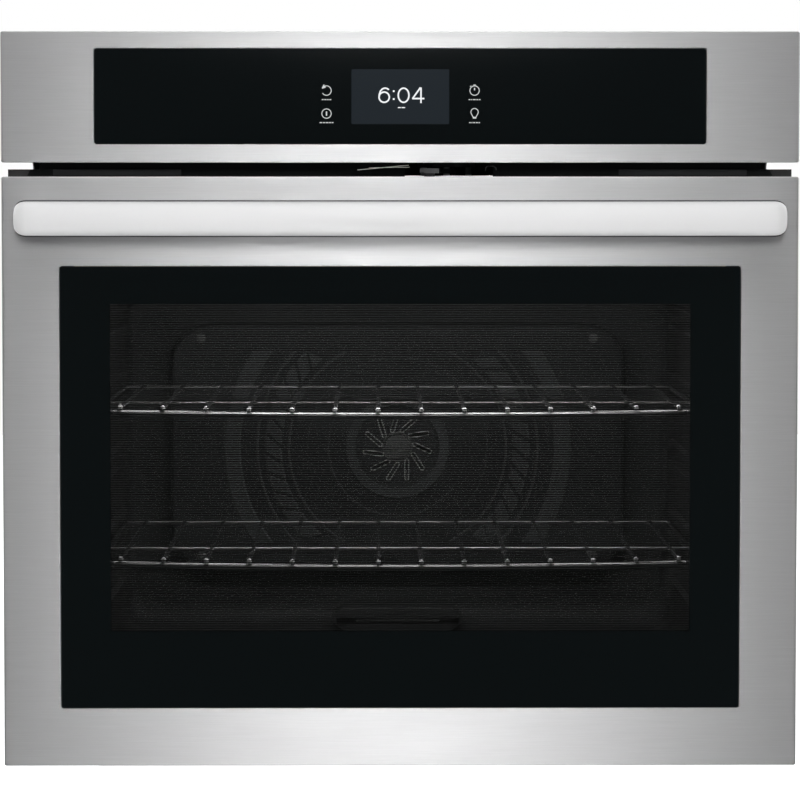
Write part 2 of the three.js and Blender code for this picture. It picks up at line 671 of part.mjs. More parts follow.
// The inner half of the door: a tray facing the cavity, with the sight opening, a notch at each hinge arm, and the
// L-shaped slot that the lock's hook enters from behind and slides along.
function doorLiner() {
  const edge = 1;
  const { linerY, seamY, bottom, top } = DOOR;
  const shell = block([edge - HALF, HALF - edge], [seamY + FIT, linerY], [bottom + edge, top - edge]);
  const wall = edge + THIN;
  const inside = block([wall - HALF, HALF - wall], [-60, linerY - THIN], [bottom + wall, top - wall]);
  const { half, bottom: low, top: high, corner } = SIGHT;
  const opening = plateXZ(roundedRect(-half, half, low, high, corner), [-60, 0]);
  const notches = [-1, 1].map((side) => {
    const x = side * HINGE.x;
    return block([x - 6.5, x + 6.5], [-29, 0], [0, HINGE.z + 9]);
  });
  const entry = block([20, 43], [-30, 0], [556, 600]);
  const catchSlot = block([42, 73], [-30, -18.5], [560, 600]);
  return cut(shell, inside, opening, ...notches, entry, catchSlot);
}

function doorPane(half, bottom, top, [y0, y1]) {
  return plateXZ(roundedRect(-half, half, bottom, top, 6), [y0, y1]);
}

function doorInsulation() {
  const batt = roundedRect(-316, 316, 40, 552, 6);
  batt.holes.push(roundedRect(-303, 303, 105, 475, 6, THREE.Path));
  return plateXZ(batt, [-31, -19]);
}

// The handle's bar: an outline drawn from above, bowed outwards, extruded up with softened edges.
function handleBar() {
  const { half, bottom, top, endY, midY, thick } = HANDLE;
  const soft = 3;
  const pull = 2 * midY - endY; // control point that puts the middle of the curve at midY
  const shape = new THREE.Shape();
  shape.moveTo(-half + 14, endY + thick);
  shape.quadraticCurveTo(0, pull + thick, half - 14, endY + thick);
  shape.quadraticCurveTo(half - soft, endY + thick, half - soft, endY + thick / 2);
  shape.quadraticCurveTo(half - soft, endY + soft, half - 14, endY + soft);
  shape.quadraticCurveTo(0, pull + soft, -half + 14, endY + soft);
  shape.quadraticCurveTo(-half + soft, endY + soft, -half + soft, endY + thick / 2);
  shape.quadraticCurveTo(-half + soft, endY + thick, -half + 14, endY + thick);
  const bevel = { bevelEnabled: true, bevelThickness: soft, bevelSize: soft, bevelSegments: 2 };
  const solid = new THREE.ExtrudeGeometry(shape, { depth: top - bottom - 2 * soft, curveSegments: 10, ...bevel });
  return solid.translate(0, 0, bottom + soft);
}

function handlePost() {
  const { postX, bottom, top, endY, thick } = HANDLE;
  return block([postX - 12, postX + 12], [endY + thick + 3 + FIT, FACE_Y - FIT], [bottom + 4, top - 4]);
}

// ---------------------------------------------------------------- hinges
function hingeArm() {
  const { x, y, z } = HINGE;
  const eye = rod("x", 7, [x - 3, x + 3], y, z, 20);
  const arm = block([x - 3, x + 3], [y, 42], [z - 5, z + 5]);
  return cut(join(eye, arm), rod("x", 3.3, [x - 5, x + 5], y, z, 16));
}

function hingeReceiver() {
  const { x } = HINGE;
  const z0 = PAN_Z + SHEET + FIT;
  const channel = block([x - 8, x + 8], [3, 46], [z0, 27]);
  return cut(channel, block([x - 3.5, x + 3.5], [0, 44], [z0 + 2, 40]));
}

// The channel inside the door that turns about its pin on the hinge arm.
function hingeBody() {
  const { x, y, z } = HINGE;
  const channel = block([x - 9, x + 9], [-43, -16], [DOOR.bottom + 3, 205]);
  const way = block([x - 6, x + 6], [-41, 0], [0, 210]);
  const pin = rod("x", 3, [x - 8, x + 8], y, z, 16);
  return join(cut(channel, way), pin);
}

// ---------------------------------------------------------------- putting it together
add(chassis, "base_pan", basePan(), GALVANISED);
addPair(chassis, "side_panel", sidePanel(), GALVANISED);
add(chassis, "top_cover", topCover(), GALVANISED);
add(chassis, "rear_panel", rearPanel(), GALVANISED);
add(chassis, "front_frame", frontFrame(), BLACK_PAINT);
addPair(chassis, "side_trim", sideTrim(), BLACK_PAINT);

addPair(chassis, "cavity_wall", cavityWall(), ENAMEL);
const flueHole = rod("z", 13.5, [500, 600], 0, 120);
add(chassis, "cavity_ceiling", cavitySheet(CAVITY.ceiling, CAVITY.ceiling + SHEET, flueHole), ENAMEL);
add(chassis, "cavity_floor", cavitySheet(CAVITY.floor - SHEET, CAVITY.floor), ENAMEL);
add(chassis, "cavity_back", cavityBack(), ENAMEL);
add(chassis, "insulation_wrap", insulationWrap(), FIBRE);
add(chassis, "insulation_back", insulationBack(), FIBRE);
add(chassis, "door_gasket", doorGasket(), SEAL);

const broil = { z: BROIL_Z, runs: 6, pitch: 72, front: 60, back: 430, tail: 535, tailX: 35 };
const bake = { z: BAKE_Z, runs: 6, pitch: 80, front: 50, back: 440, tail: 540, tailX: 35 };
add(chassis, "broil_element", heater(broil), ELEMENT);
add(chassis, "bake_element", heater(bake), ELEMENT);
add(chassis, "bake_element_pan", block([-295, 295], [20, 495], [45, 46.5]), GALVANISED);
add(chassis, "fan_baffle", fanBaffle(), ENAMEL);
add(chassis, "convection_motor", convectionMotor(), GALVANISED);
add(chassis, "convection_fan", convectionFan(), ALUMINIUM, { x: FAN.x, z: FAN.z });
add(chassis, "lamp_housing", lampHousing(), CERAMIC);
add(chassis, "lamp_bulb", lampBulb(), CLEAR_GLASS);
add(chassis, "lamp_lens", lampLens(), CLEAR_GLASS);
add(chassis, "temperature_sensor", temperatureSensor(), STAINLESS);

add(chassis, "door_switch", switchBody(), PLASTIC);
add(chassis, "switch_plunger", switchPlunger(), PLASTIC);
add(chassis, "latch_base", latchBase(), GALVANISED);
add(chassis, "latch_motor", latchMotor(), PLASTIC);
const parked = -(LATCH.turn / 2) * DEG;
add(chassis, "latch_hook", latchHook(), GALVANISED, { x: LATCH.x, y: LATCH.y, turn: parked });

add(chassis, "air_duct", airDuct(), BLACK_PAINT);
add(chassis, "flue_tube", flueTube(), GALVANISED);
add(chassis, "blower_housing", blowerHousing(), GALVANISED);
add(chassis, "blower_motor", blowerMotor(), PLASTIC);
add(chassis, "blower_wheel", blowerWheel(), ALUMINIUM, { y: BLOWER.y, z: BLOWER.z });

add(chassis, "panel_frame", panelFrame(), STAINLESS);
add(chassis, "panel_glass", panelGlass(), BLACK_GLASS);
const screenX = DISPLAY.half + 3;
add(chassis, "display_module", block([-screenX, screenX], [-48.6, -41], [DISPLAY.bottom - 4, DISPLAY.top + 4]), PLASTIC);
add(chassis, "control_board", controlBoard(), BOARD);
add(chassis, "power_board", powerBoard(), BOARD);
add(chassis, "terminal_block", terminalBlock(), CERAMIC);
add(chassis, "conduit_gland", conduitGland(), ALUMINIUM);
addPair(chassis, "hinge_arm", hingeArm(), GALVANISED);
addPair(chassis, "hinge_receiver", hingeReceiver(), GALVANISED);

const wireRack = rack();
add(chassis, "rack_lower", wireRack, CHROME, { z: RACK_LEVELS[1] });
add(chassis, "rack_upper", wireRack, CHROME, { z: RACK_LEVELS[3] });

add(door, "door_skin", doorSkin(), STAINLESS);
add(door, "door_outer_glass", doorOuterGlass(), BLACK_GLASS);
add(door, "door_liner", doorLiner(), BLACK_PAINT);
add(door, "door_middle_glass", doorPane(300, 110, 470, [-37, -33.5]), CLEAR_GLASS);
add(door, "door_inner_glass", doorPane(292, 123, 464, [-18.3, -14.6]), CLEAR_GLASS);
add(door, "door_insulation", doorInsulation(), FIBRE);
add(door, "handle_bar", handleBar(), STAINLESS);
addPair(door, "handle_post", handlePost(), CHROME);
addPair(door, "hinge_body", hingeBody(), GALVANISED);

oven.position.y = -(HANDLE.midY + GLAND.end) / 2;

export default oven;
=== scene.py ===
"""The looks of a built-in wall oven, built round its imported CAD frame.

Lengths are millimetres until they become mesh points. x runs across the front, y = 0 is the cabinet's front
face and grows into the oven, and z is up from the plane that the oven stands on.
"""

import json
import math

import bmesh
import bpy
from mathutils import Matrix, Vector, noise

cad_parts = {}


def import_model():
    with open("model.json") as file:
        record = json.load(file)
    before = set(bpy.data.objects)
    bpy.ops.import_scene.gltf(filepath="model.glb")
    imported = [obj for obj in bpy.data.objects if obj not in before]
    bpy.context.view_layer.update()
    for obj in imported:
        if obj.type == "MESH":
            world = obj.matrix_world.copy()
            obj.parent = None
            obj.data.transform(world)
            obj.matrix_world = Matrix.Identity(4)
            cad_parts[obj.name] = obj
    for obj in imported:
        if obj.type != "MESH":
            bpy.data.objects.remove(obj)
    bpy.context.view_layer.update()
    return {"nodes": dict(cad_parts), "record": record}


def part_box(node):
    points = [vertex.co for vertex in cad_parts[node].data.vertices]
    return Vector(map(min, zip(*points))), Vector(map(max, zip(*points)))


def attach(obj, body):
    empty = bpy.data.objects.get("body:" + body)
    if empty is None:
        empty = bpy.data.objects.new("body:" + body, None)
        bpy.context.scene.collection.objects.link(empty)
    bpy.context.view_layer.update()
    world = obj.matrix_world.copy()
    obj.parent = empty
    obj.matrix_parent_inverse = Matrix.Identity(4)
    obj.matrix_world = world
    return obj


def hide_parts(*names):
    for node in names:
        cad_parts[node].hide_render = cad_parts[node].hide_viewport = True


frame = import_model()
NODES = frame["nodes"]

MM = 0.001
TRIM_REACH = 20  # how far the trims' legs reach behind the cabinet's face
CABINET_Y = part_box("side_trim_right")[1].y - TRIM_REACH * MM
WELD = 1e-4  # points nearer than this become one

FACE_Y = -52  # front of the door and the panel
HALF = 381
DOOR = {"bottom": 6, "top": 572.5, "seam": -32, "liner": -13}
PANEL = {"bottom": 586, "top": 711, "back": -5}
GLASS = (-325.8, 325.8, 61.5, 487.2)  # opening in the door's steel: x0, x1, z0, z1
SIGHT = (-278, 278, 136, 451)  # clear part of the door glass
TOUCH = (-292, 292, 603.3, 695)  # opening in the panel's steel
DISPLAY = (-46.6, 46.6, 622.6, 674.8)
CAVITY = {"half": 305, "floor": 64, "ceiling": 547, "front": -2.3, "back": 508, "corner": 25}
CAVITY |= {"cove": 28, "side_cove": 11}  # how round the back's edges are: at the floor, and elsewhere
HANDLE = {"half": 366, "low": 515.6, "high": 550.4, "front": -105, "end_front": -92.5}
HANDLE |= {"depth": 15, "corner": 12}
CASING = {"half": 356, "top": 690, "back": 584}  # outer faces of the galvanised body
COVER = {"x": 253, "z": 138, "r": 45, "front": 478, "back": 507.7}  # tray over the fan
SWIRL = {"count": 11, "radius": 27.6, "length": 23.5, "width": 4.4, "first": 96, "lean": 22}
RACK_LEVELS = (115, 190, 265, 340, 415, 490)
FAN_Z = 270


# ---------------------------------------------------------------- meshes
def to_row(x, y, z):
    """A point in millimetres from the cabinet's face, as metres in the row frame."""
    return Vector((x * MM, y * MM + CABINET_Y, z * MM))


def add_object(name, data):
    made = bpy.data.objects.new(name, data)
    bpy.context.scene.collection.objects.link(made)
    return made


def finish_mesh(name, bm, material, body="oven", smooth=35):
    """Turns a bmesh in millimetres into an object that rides on a CAD body."""
    for v in bm.verts:
        v.co = to_row(*v.co)
    bmesh.ops.recalc_face_normals(bm, faces=bm.faces)
    mesh = bpy.data.meshes.new(name)
    bm.to_mesh(mesh)
    bm.free()
    mesh.polygons.foreach_set("use_smooth", [True] * len(mesh.polygons))
    mesh.set_sharp_from_angle(angle=math.radians(smooth))
    mesh.materials.append(material)
    obj = add_object(name, mesh)
    flat = obj.modifiers.new("flat faces stay flat", "WEIGHTED_NORMAL")
    flat.keep_sharp = True
    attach(obj, body)
    return obj


def cos_sin(degrees):
    return math.cos(math.radians(degrees)), math.sin(math.radians(degrees))


def smooth_step(t):
    return t * t * (3 - 2 * t)


def arc(cx, cz, r, start, end, steps=16):
    """Points from one angle to another, in degrees, anticlockwise where end is greater."""
    angles = [math.radians(start + (end - start) * i / steps) for i in range(steps + 1)]
    return [(cx + r * math.cos(a), cz + r * math.sin(a)) for a in angles]


def rounded_rect(x0, x1, z0, z1, r, steps=6):
    """Corner by corner from bottom right, anticlockwise as seen from the front."""
    corners = ((x1 - r, z0 + r, -90), (x1 - r, z1 - r, 0), (x0 + r, z1 - r, 90), (x0 + r, z0 + r, 180))
    points = []
    for cx, cz, start in corners:
        points += arc(cx, cz, r, start, start + 90, steps)
    return points


def circle(cx, cz, r, count):
    """Starts at the bottom right and runs anticlockwise, so that it lines up with rounded_rect."""
    angles = [math.radians(-90 + 360 * (i + 0.5) / count) for i in range(count)]
    return [(cx + r * math.cos(a), cz + r * math.sin(a)) for a in angles]


def add_loft(bm, rings, cap_first=False, cap_last=False):
    """Joins each ring of points to the next with quads."""
    made = [[bm.verts.new(p) for p in ring] for ring in rings]
    count = len(made[0])
    for near, far in zip(made, made[1:]):
        for i in range(count):
            k = (i + 1) % count
            bm.faces.new((near[i], near[k], far[k], far[i]))
    if cap_first:
        bm.faces.new(made[0])
    if cap_last:
        bm.faces.new(made[-1])


def add_loop(bm, rings, weld=WELD):
    """A loft whose last ring is joined to its first."""
    add_loft(bm, rings + [rings[0]])
    bmesh.ops.remove_doubles(bm, verts=bm.verts, dist=weld)


def at_depth(outline, y):
    return [(x, y, z) for x, z in outline]


def rect_rings(rows, steps=6):
    """Rings from rows of (x0, x1, z0, z1, corner radius, y)."""
    return [at_depth(rounded_rect(*row[:5], steps=steps), row[5]) for row in rows]


def inset(rect, d):
    return (rect[0] + d, rect[1] - d, rect[2] + d, rect[3] - d)


def section(centre, side, other, r, sides):
    """Points on a circle round centre, in the plane of two directions."""
    turns = [2 * math.pi * k / sides for k in range(sides)]
    return [centre + side * (r * math.cos(a)) + other * (r * math.sin(a)) for a in turns]


def add_tube(bm, path, radius, sides=10, closed=False):
    """A round bar along a path of points, with domed ends where it isn't closed."""
    points = [Vector(p) for p in path]
    count = len(points)
    tangents = []
    for i in range(count):
        before = points[(i - 1) % count] if closed or i else points[0]
        after = points[(i + 1) % count] if closed or i < count - 1 else points[-1]
        tangents.append((after - before).normalized())
    up = Vector((0, 0, 1)) if abs(tangents[0].z) < 0.9 else Vector((0, 1, 0))
    side = tangents[0].cross(up).normalized()
    stations = []
    for p, t in zip(points, tangents):
        side = (side - t * side.dot(t)).normalized()
        stations.append((p, t, side, t.cross(side)))
    sections = [section(p, s, o, radius, sides) for p, _, s, o in stations]
    if closed:
        add_loop(bm, sections)
        return
    for end, sign in ((0, -1), (-1, 1)):
        p, t, s, o = stations[end]
        dome = []
        for out, width in ((0.55, 0.85), (0.95, 0.4)):
            dome.append(section(p + t * (sign * radius * out * 0.5), s, o, radius * width, sides))
        sections = dome[::-1] + sections if end == 0 else sections + dome
    add_loft(bm, sections, cap_first=True, cap_last=True)


def add_box(bm, x, y, z, bevel=0.0):
    """A box between two limits on each axis, with its edges rounded off."""
    made = bmesh.ops.create_cube(bm, size=1)
    size = (x[1] - x[0], y[1] - y[0], z[1] - z[0])
    middle = ((x[0] + x[1]) / 2, (y[0] + y[1]) / 2, (z[0] + z[1]) / 2)
    matrix = Matrix.Translation(middle) @ Matrix.Diagonal((*size, 1))
    bmesh.ops.transform(bm, matrix=matrix, verts=made["verts"])
    if bevel:
        edges = {e for v in made["verts"] for e in v.link_edges}
        bmesh.ops.bevel(bm, geom=list(edges), offset=bevel, segments=2, affect="EDGES", profile=0.7)


def add_disc(bm, centre, axis, profile, sides=32):
    """A turned piece, capped at both ends: profile is rows of (distance along the axis, radius)."""
    axis = Vector(axis).normalized()
    side = axis.cross(Vector((0, 0, 1)) if abs(axis.z) < 0.9 else Vector((1, 0, 0))).normalized()
    other = axis.cross(side)
    rings = [section(Vector(centre) + axis * along, side, other, r, sides) for along, r in profile]
    add_loft(bm, rings, cap_first=True, cap_last=True)


def fillet(corners, radius, steps=6):
    """Rounds each inner corner of a polyline."""
    points = [Vector(corners[0])]
    for a, b, c in zip(corners, corners[1:], corners[2:]):
        a, b, c = Vector(a), Vector(b), Vector(c)
        into, out = (b - a).normalized(), (c - b).normalized()
        turn = into.angle(out)
        start = b - into * (radius * math.tan(turn / 2))
        inward = (out - into * into.dot(out)).normalized()
        centre = start + inward * radius
        for k in range(steps + 1):
            angle = turn * k / steps
            points.append(centre - inward * (radius * math.cos(angle)) + into * (radius * math.sin(angle)))
    points.append(Vector(corners[-1]))
    return points


# ---------------------------------------------------------------- materials
class Shader:
    """A material with a Principled shader and short ways to add nodes in front of it."""

    def __init__(self, name, color, roughness, metallic=0.0, **values):
        self.material = bpy.data.materials.new(name)
        self.material.use_nodes = True
        self.tree = self.material.node_tree
        self.bsdf = self.tree.nodes["Principled BSDF"]
        self.bsdf.inputs["Base Color"].default_value = (*color, 1)
        self.bsdf.inputs["Roughness"].default_value = roughness
        self.bsdf.inputs["Metallic"].default_value = metallic
        for key, value in values.items():
            self.bsdf.inputs[key.replace("_", " ")].default_value = value

    def node(self, kind, **values):
        made = self.tree.nodes.new("ShaderNode" + kind)
        for key, value in values.items():
            if hasattr(made, key):
                setattr(made, key, value)
            else:
                self.feed(made.inputs[key.replace("_", " ")], value)
        return made

    def feed(self, socket, value):
        if isinstance(value, bpy.types.NodeSocket):
            self.tree.links.new(value, socket)
        else:
            socket.default_value = value

    def place(self, scale=1):
        """Object coordinates in metres, times one number or one for each axis."""
        scale = scale if isinstance(scale, tuple) else (scale, scale, scale)
        where = self.node("TexCoord").outputs["Object"]
        return self.node("Mapping", Vector=where, Scale=scale).outputs["Vector"]

    def in_mm(self):
        """Object coordinates in millimetres, with an output for each axis."""
        return self.node("SeparateXYZ", Vector=self.place(1000)).outputs

    def noise(self, scale, detail=3.0, rough=0.5):
        made = self.node("TexNoise", Vector=self.place(scale), Scale=1.0, Detail=detail, Roughness=rough)
        return made.outputs["Fac"]

    def math(self, operation, a, b=0.0):
        made = self.node("Math", operation=operation)
        self.feed(made.inputs[0], a)
        self.feed(made.inputs[1], b)
        return made.outputs[0]

    def spread(self, value, low, high, from_low=0.0, from_high=1.0):
        made = self.node("MapRange", clamp=True)
        keys = ("Value", "From Min", "From Max", "To Min", "To Max")
        for key, number in zip(keys, (value, from_low, from_high, low, high)):
            self.feed(made.inputs[key], number)
        return made.outputs["Result"]

    def mix(self, factor, a, b):
        made = self.node("Mix", data_type="RGBA")
        self.feed(made.inputs["Factor"], factor)
        for socket, color in ((made.inputs[6], a), (made.inputs[7], b)):
            self.feed(socket, color if isinstance(color, bpy.types.NodeSocket) else (*color, 1))
        return made.outputs[2]

    def add_parts(self, a, b):
        """Six parts of a and four of b."""
        return self.math("ADD", self.math("MULTIPLY", a, 0.6), self.math("MULTIPLY", b, 0.4))

    def color(self, socket):
        self.tree.links.new(socket, self.bsdf.inputs["Base Color"])

    def rough(self, socket):
        self.tree.links.new(socket, self.bsdf.inputs["Roughness"])

    def vary_rough(self, value, base, less, more):
        """Roughness that wanders from a little under its base to a little over it."""
        self.rough(self.spread(value, base - less, base + more, 0.3, 0.7))

    def bump(self, height, strength, distance_mm):
        made = self.node("Bump", Height=height, Strength=strength, Distance=distance_mm * MM)
        self.tree.links.new(made.outputs["Normal"], self.bsdf.inputs["Normal"])


def brushed(name, base, roughness, anisotropic, contrast, metallic=1.0):
    """Metal with a fine grain along x."""
    s = Shader(name, base, roughness, metallic, Anisotropic=anisotropic)
    fine = s.noise((26, 26, 2600), detail=2.0)
    coarse = s.noise((14, 14, 520), detail=3.0)
    streaks = s.add_parts(fine, coarse)
    dark = tuple(c * (1 - contrast) for c in base)
    light = tuple(min(1.0, c * (1 + contrast)) for c in base)
    s.color(s.mix(s.spread(streaks, 0, 1, 0.3, 0.7), dark, light))
    s.vary_rough(coarse, roughness, 0.03, 0.03)
    s.bump(streaks, 0.06, 0.05)
    across_grain = s.node("CombineXYZ", X=0.0, Y=0.1, Z=1.0)
    s.tree.links.new(across_grain.outputs[0], s.bsdf.inputs["Tangent"])
    return s.material


def galvanised():
    """Zinc-coated sheet: faint spangles a few millimetres across."""
    s = Shader("galvanised", (0.55, 0.57, 0.58), 0.42, metallic=0.9)
    cells = s.node("TexVoronoi", Vector=s.place(90), Scale=1.0)
    tone = s.node("SeparateColor", Color=cells.outputs["Color"]).outputs[0]
    cloud = s.noise(8, detail=4.0)
    mixed = s.add_parts(tone, cloud)
    s.color(s.mix(s.spread(mixed, 0, 1, 0.1, 0.9), (0.57, 0.585, 0.6), (0.7, 0.71, 0.715)))
    s.rough(s.spread(tone, 0.4, 0.5))
    s.bump(cloud, 0.05, 0.4)
    return s.material


def chrome(name, color, roughness):
    s = Shader(name, color, roughness, metallic=1.0)
    s.vary_rough(s.noise(60), roughness, 0.03, 0.03)
    s.bump(s.noise(30), 0.02, 0.05)
    return s.material


def plain_metal(name, color, roughness):
    s = Shader(name, color, roughness, metallic=1.0)
    s.vary_rough(s.noise(40, detail=4.0), roughness, 0.07, 0.08)
    s.bump(s.noise(300), 0.05, 0.1)
    return s.material


def enamel(name, color, speckle, roughness, gloss=0.5):
    """Porcelain enamel: slightly uneven, with very fine pale specks."""
    s = Shader(name, color, roughness, Specular_IOR_Level=gloss)
    dots = s.node("TexVoronoi", Vector=s.place(420), Scale=1.0)
    s.color(s.mix(s.spread(dots.outputs["Distance"], 0.2, 0, 0.05, 0.2), color, speckle))
    s.vary_rough(s.noise(14, detail=4.0), roughness, 0.03, 0.05)
    s.bump(s.noise(70, detail=4.0), 0.08, 0.3)
    return s.material


def paint(name, color, roughness, gloss=0.5):
    s = Shader(name, color, roughness, Specular_IOR_Level=gloss)
    s.vary_rough(s.noise(20), roughness, 0.06, 0.06)
    s.bump(s.noise(1200), 0.08, 0.06)
    return s.material


def black_glass(name, color):
    """Glass printed black from behind: a flawless surface with the faintest tone in the print."""
    s = Shader(name, color, 0.04, Specular_IOR_Level=0.3)
    s.color(s.mix(s.noise(9), color, tuple(c * 1.25 for c in color)))
    return s.material


def door_glass():
    """The door's outer pane: black print round a window that is screened with fine horizontal lines."""
    print_black, edge, line_pitch = (0.003, 0.0042, 0.0045), 0.4, 2.265
    s = Shader("door_outer_glass", print_black, 0.03, Specular_IOR_Level=0.3)
    where = s.in_mm()
    _, half, z0, z1 = SIGHT
    inside_x = s.spread(s.math("ABSOLUTE", where["X"]), 1, 0, half - edge, half + edge)
    from_middle = s.math("ABSOLUTE", s.math("SUBTRACT", where["Z"], (z0 + z1) / 2))
    inside_z = s.spread(from_middle, 1, 0, (z1 - z0) / 2 - edge, (z1 - z0) / 2 + edge)
    clear = s.math("MULTIPLY", inside_x, inside_z)
    wave = s.math("SINE", s.math("MULTIPLY", where["Z"], 2 * math.pi / line_pitch))
    lines = s.spread(wave, 0.1, 0.55, -0.4, 0.4)
    alpha = s.math("SUBTRACT", 1.0, s.math("MULTIPLY", clear, s.math("SUBTRACT", 1.0, lines)))
    s.tree.links.new(alpha, s.bsdf.inputs["Alpha"])
    s.color(s.mix(clear, print_black, (0.004, 0.004, 0.004)))
    return s.material


def clear_glass(name, tint, alpha):
    s = Shader(name, tint, 0.03, Specular_IOR_Level=0.35, Alpha=alpha)
    s.color(s.mix(s.noise(12), tint, tuple(min(1.0, c * 1.2) for c in tint)))
    return s.material


def fibre():
    """Glass-fibre batt: matted strands and soft lumps."""
    s = Shader("glass_fibre", (0.72, 0.62, 0.32), 0.95, Sheen_Weight=0.3)
    strands = s.noise((500, 60, 500), detail=6.0, rough=0.7)
    lumps = s.noise(45, detail=5.0)
    s.color(s.mix(strands, (0.55, 0.46, 0.2), (0.86, 0.79, 0.5)))
    s.bump(s.math("ADD", strands, lumps), 0.8, 1.5)
    return s.material


def braid():
    """Woven glass-fibre sleeve: two crossing sets of diagonal strands."""
    s = Shader("braided_seal", (0.3, 0.3, 0.29), 0.9)
    where = s.in_mm()
    strands = []
    for operation in ("ADD", "SUBTRACT"):
        across = s.math(operation, s.math(operation, where["X"], where["Z"]), where["Y"])
        strands.append(s.math("SINE", s.math("MULTIPLY", across, 1.5)))
    weave = s.spread(s.math("MULTIPLY", *strands), 0, 1, -1, 1)
    s.color(s.mix(weave, (0.14, 0.14, 0.135), (0.42, 0.41, 0.39)))
    s.bump(weave, 0.7, 0.8)
    return s.material


def circuit_board():
    s = Shader("circuit_board", (0.02, 0.12, 0.05), 0.4)
    tracks = s.node("TexBrick", Vector=s.place(120), Scale=1.0)
    s.color(s.mix(tracks.outputs["Fac"], (0.015, 0.1, 0.045), (0.05, 0.22, 0.1)))
    s.bump(s.noise(200), 0.3, 0.3)
    return s.material


def glow(name, color, strength):
    """Something lit from behind: dark by itself, with an even glow."""
    body = tuple(c * 0.05 for c in color)
    s = Shader(name, body, 0.06, Emission_Strength=strength, Specular_IOR_Level=0.05)
    s.bsdf.inputs["Emission Color"].default_value = (*color, 1)
    s.color(s.mix(s.noise(30), body, tuple(c * 0.9 for c in body)))
    return s.material


STEEL = brushed("brushed_stainless", (0.62, 0.62, 0.625), 0.55, 0.97, 0.055)
SATIN = brushed("satin_handle", (0.71, 0.71, 0.715), 0.6, 0.0, 0.012, metallic=0.5)
ZINC = galvanised()
WIRE = chrome("chrome_wire", (0.82, 0.825, 0.83), 0.23)
ALUMINIUM = plain_metal("aluminium", (0.66, 0.66, 0.67), 0.38)
# Pale diffuse paint for the chrome wires' ends: a painted highlight that looks lit from every side.
WIRE_END_HIGHLIGHT = paint("wire_end_painted_highlight", (0.62, 0.62, 0.62), 0.45)
# The rails are the wires' chrome painted darker: painted shade that keeps their highlights dim, and darker
# still on the rails further back from the light.
RAIL = chrome("rail_wire", (0.41, 0.41, 0.41), 0.62)
RAIL_SHADED = chrome("rail_wire_painted_shade", (0.26, 0.26, 0.26), 0.33)
DARK_STEEL = plain_metal("dark_steel", (0.09, 0.09, 0.092), 0.42)
SCREW = plain_metal("screw_steel", (0.5, 0.5, 0.51), 0.32)
BLACK_PAINT = paint("black_paint", (0.012, 0.012, 0.013), 0.42)
MATT_BLACK = paint("matt_black", (0.0175, 0.019, 0.0195), 0.8, 0.1)
# Grey for the panel's clip, and for strips that paint the front frame's lit face in the gap: painted light.
CLIP_AND_LIT_FRAME_GREY = paint("clip_grey_and_painted_light", (0.055, 0.058, 0.06), 0.8, 0.1)
# Lighter grey for the lock hook's head than the black of its lever: painted light on the head where it shows
# lit in the gap.
HOOK_HEAD_LIT_GREY = paint("hook_head_painted_light", (0.15, 0.153, 0.156), 0.6, 0.3)
BLACK_ENAMEL = enamel("black_enamel", (0.01, 0.01, 0.011), (0.012, 0.012, 0.013), 0.2)
CAVITY_ENAMEL = enamel("cavity_enamel", (0.036, 0.037, 0.038), (0.041, 0.042, 0.044), 0.5, 0.18)
# The cover's pressed arcs, louvres and rings are the cover's own enamel painted lighter: painted light, as if
# they caught more light than the flat sheet.
LIT_PRESSED_ENAMEL = enamel("pressed_enamel_painted_lit", (0.07, 0.072, 0.073), (0.076, 0.078, 0.08), 0.5, 0.18)
# Pale paint for the rims round the swirl's slots: painted highlights on the slots' pressed edges.
SLOT_RIM_HIGHLIGHT = paint("slot_rim_painted_highlight", (0.42, 0.42, 0.41), 0.5)
HUB = paint("fan_hub", (0.1, 0.1, 0.098), 0.5)
SHEATH = plain_metal("heater_sheath", (0.09, 0.088, 0.085), 0.5)
PLASTIC = paint("black_plastic", (0.02, 0.02, 0.022), 0.5)
CERAMIC = paint("ceramic", (0.78, 0.75, 0.68), 0.55)
PANEL_GLASS = black_glass("panel_glass", (0.0026, 0.0036, 0.0039))
DOOR_GLASS = door_glass()
INNER_GLASS = clear_glass("inner_glass", (0.05, 0.055, 0.05), 0.07)
LENS = clear_glass("lamp_glass", (0.7, 0.72, 0.7), 0.4)
FIBRE = fibre()
BRAID = braid()
BOARD = circuit_board()
SCREEN = glow("display_screen", (0.0165, 0.021, 0.0255), 1.0)
DIGITS = glow("display_digits", (0.86, 0.88, 0.9), 1.0)
INK = glow("white_ink", (0.6, 0.61, 0.61), 1.0)

BY_SLOT = {
    "stainless": STEEL,
    "galvanised": ZINC,
    "chrome": WIRE,
    "aluminium": ALUMINIUM,
    "black_glass": PANEL_GLASS,
    "clear_glass": LENS,
    "black_paint": BLACK_PAINT,
    "enamel": CAVITY_ENAMEL,
    "element": SHEATH,
    "plastic": PLASTIC,
    "fibre": FIBRE,
    "seal": BRAID,
    "board": BOARD,
    "ceramic": CERAMIC,
}
BY_NODE = {"front_frame": MATT_BLACK, "air_duct": MATT_BLACK, "convection_fan": DARK_STEEL}


def paint_cad_nodes():
    for entry in frame["record"]["subparts"]:
        node = entry["node"]
        mesh = NODES[node].data
        mesh.materials.clear()
        mesh.materials.append(BY_NODE.get(node, BY_SLOT[entry["material_slot"]]))


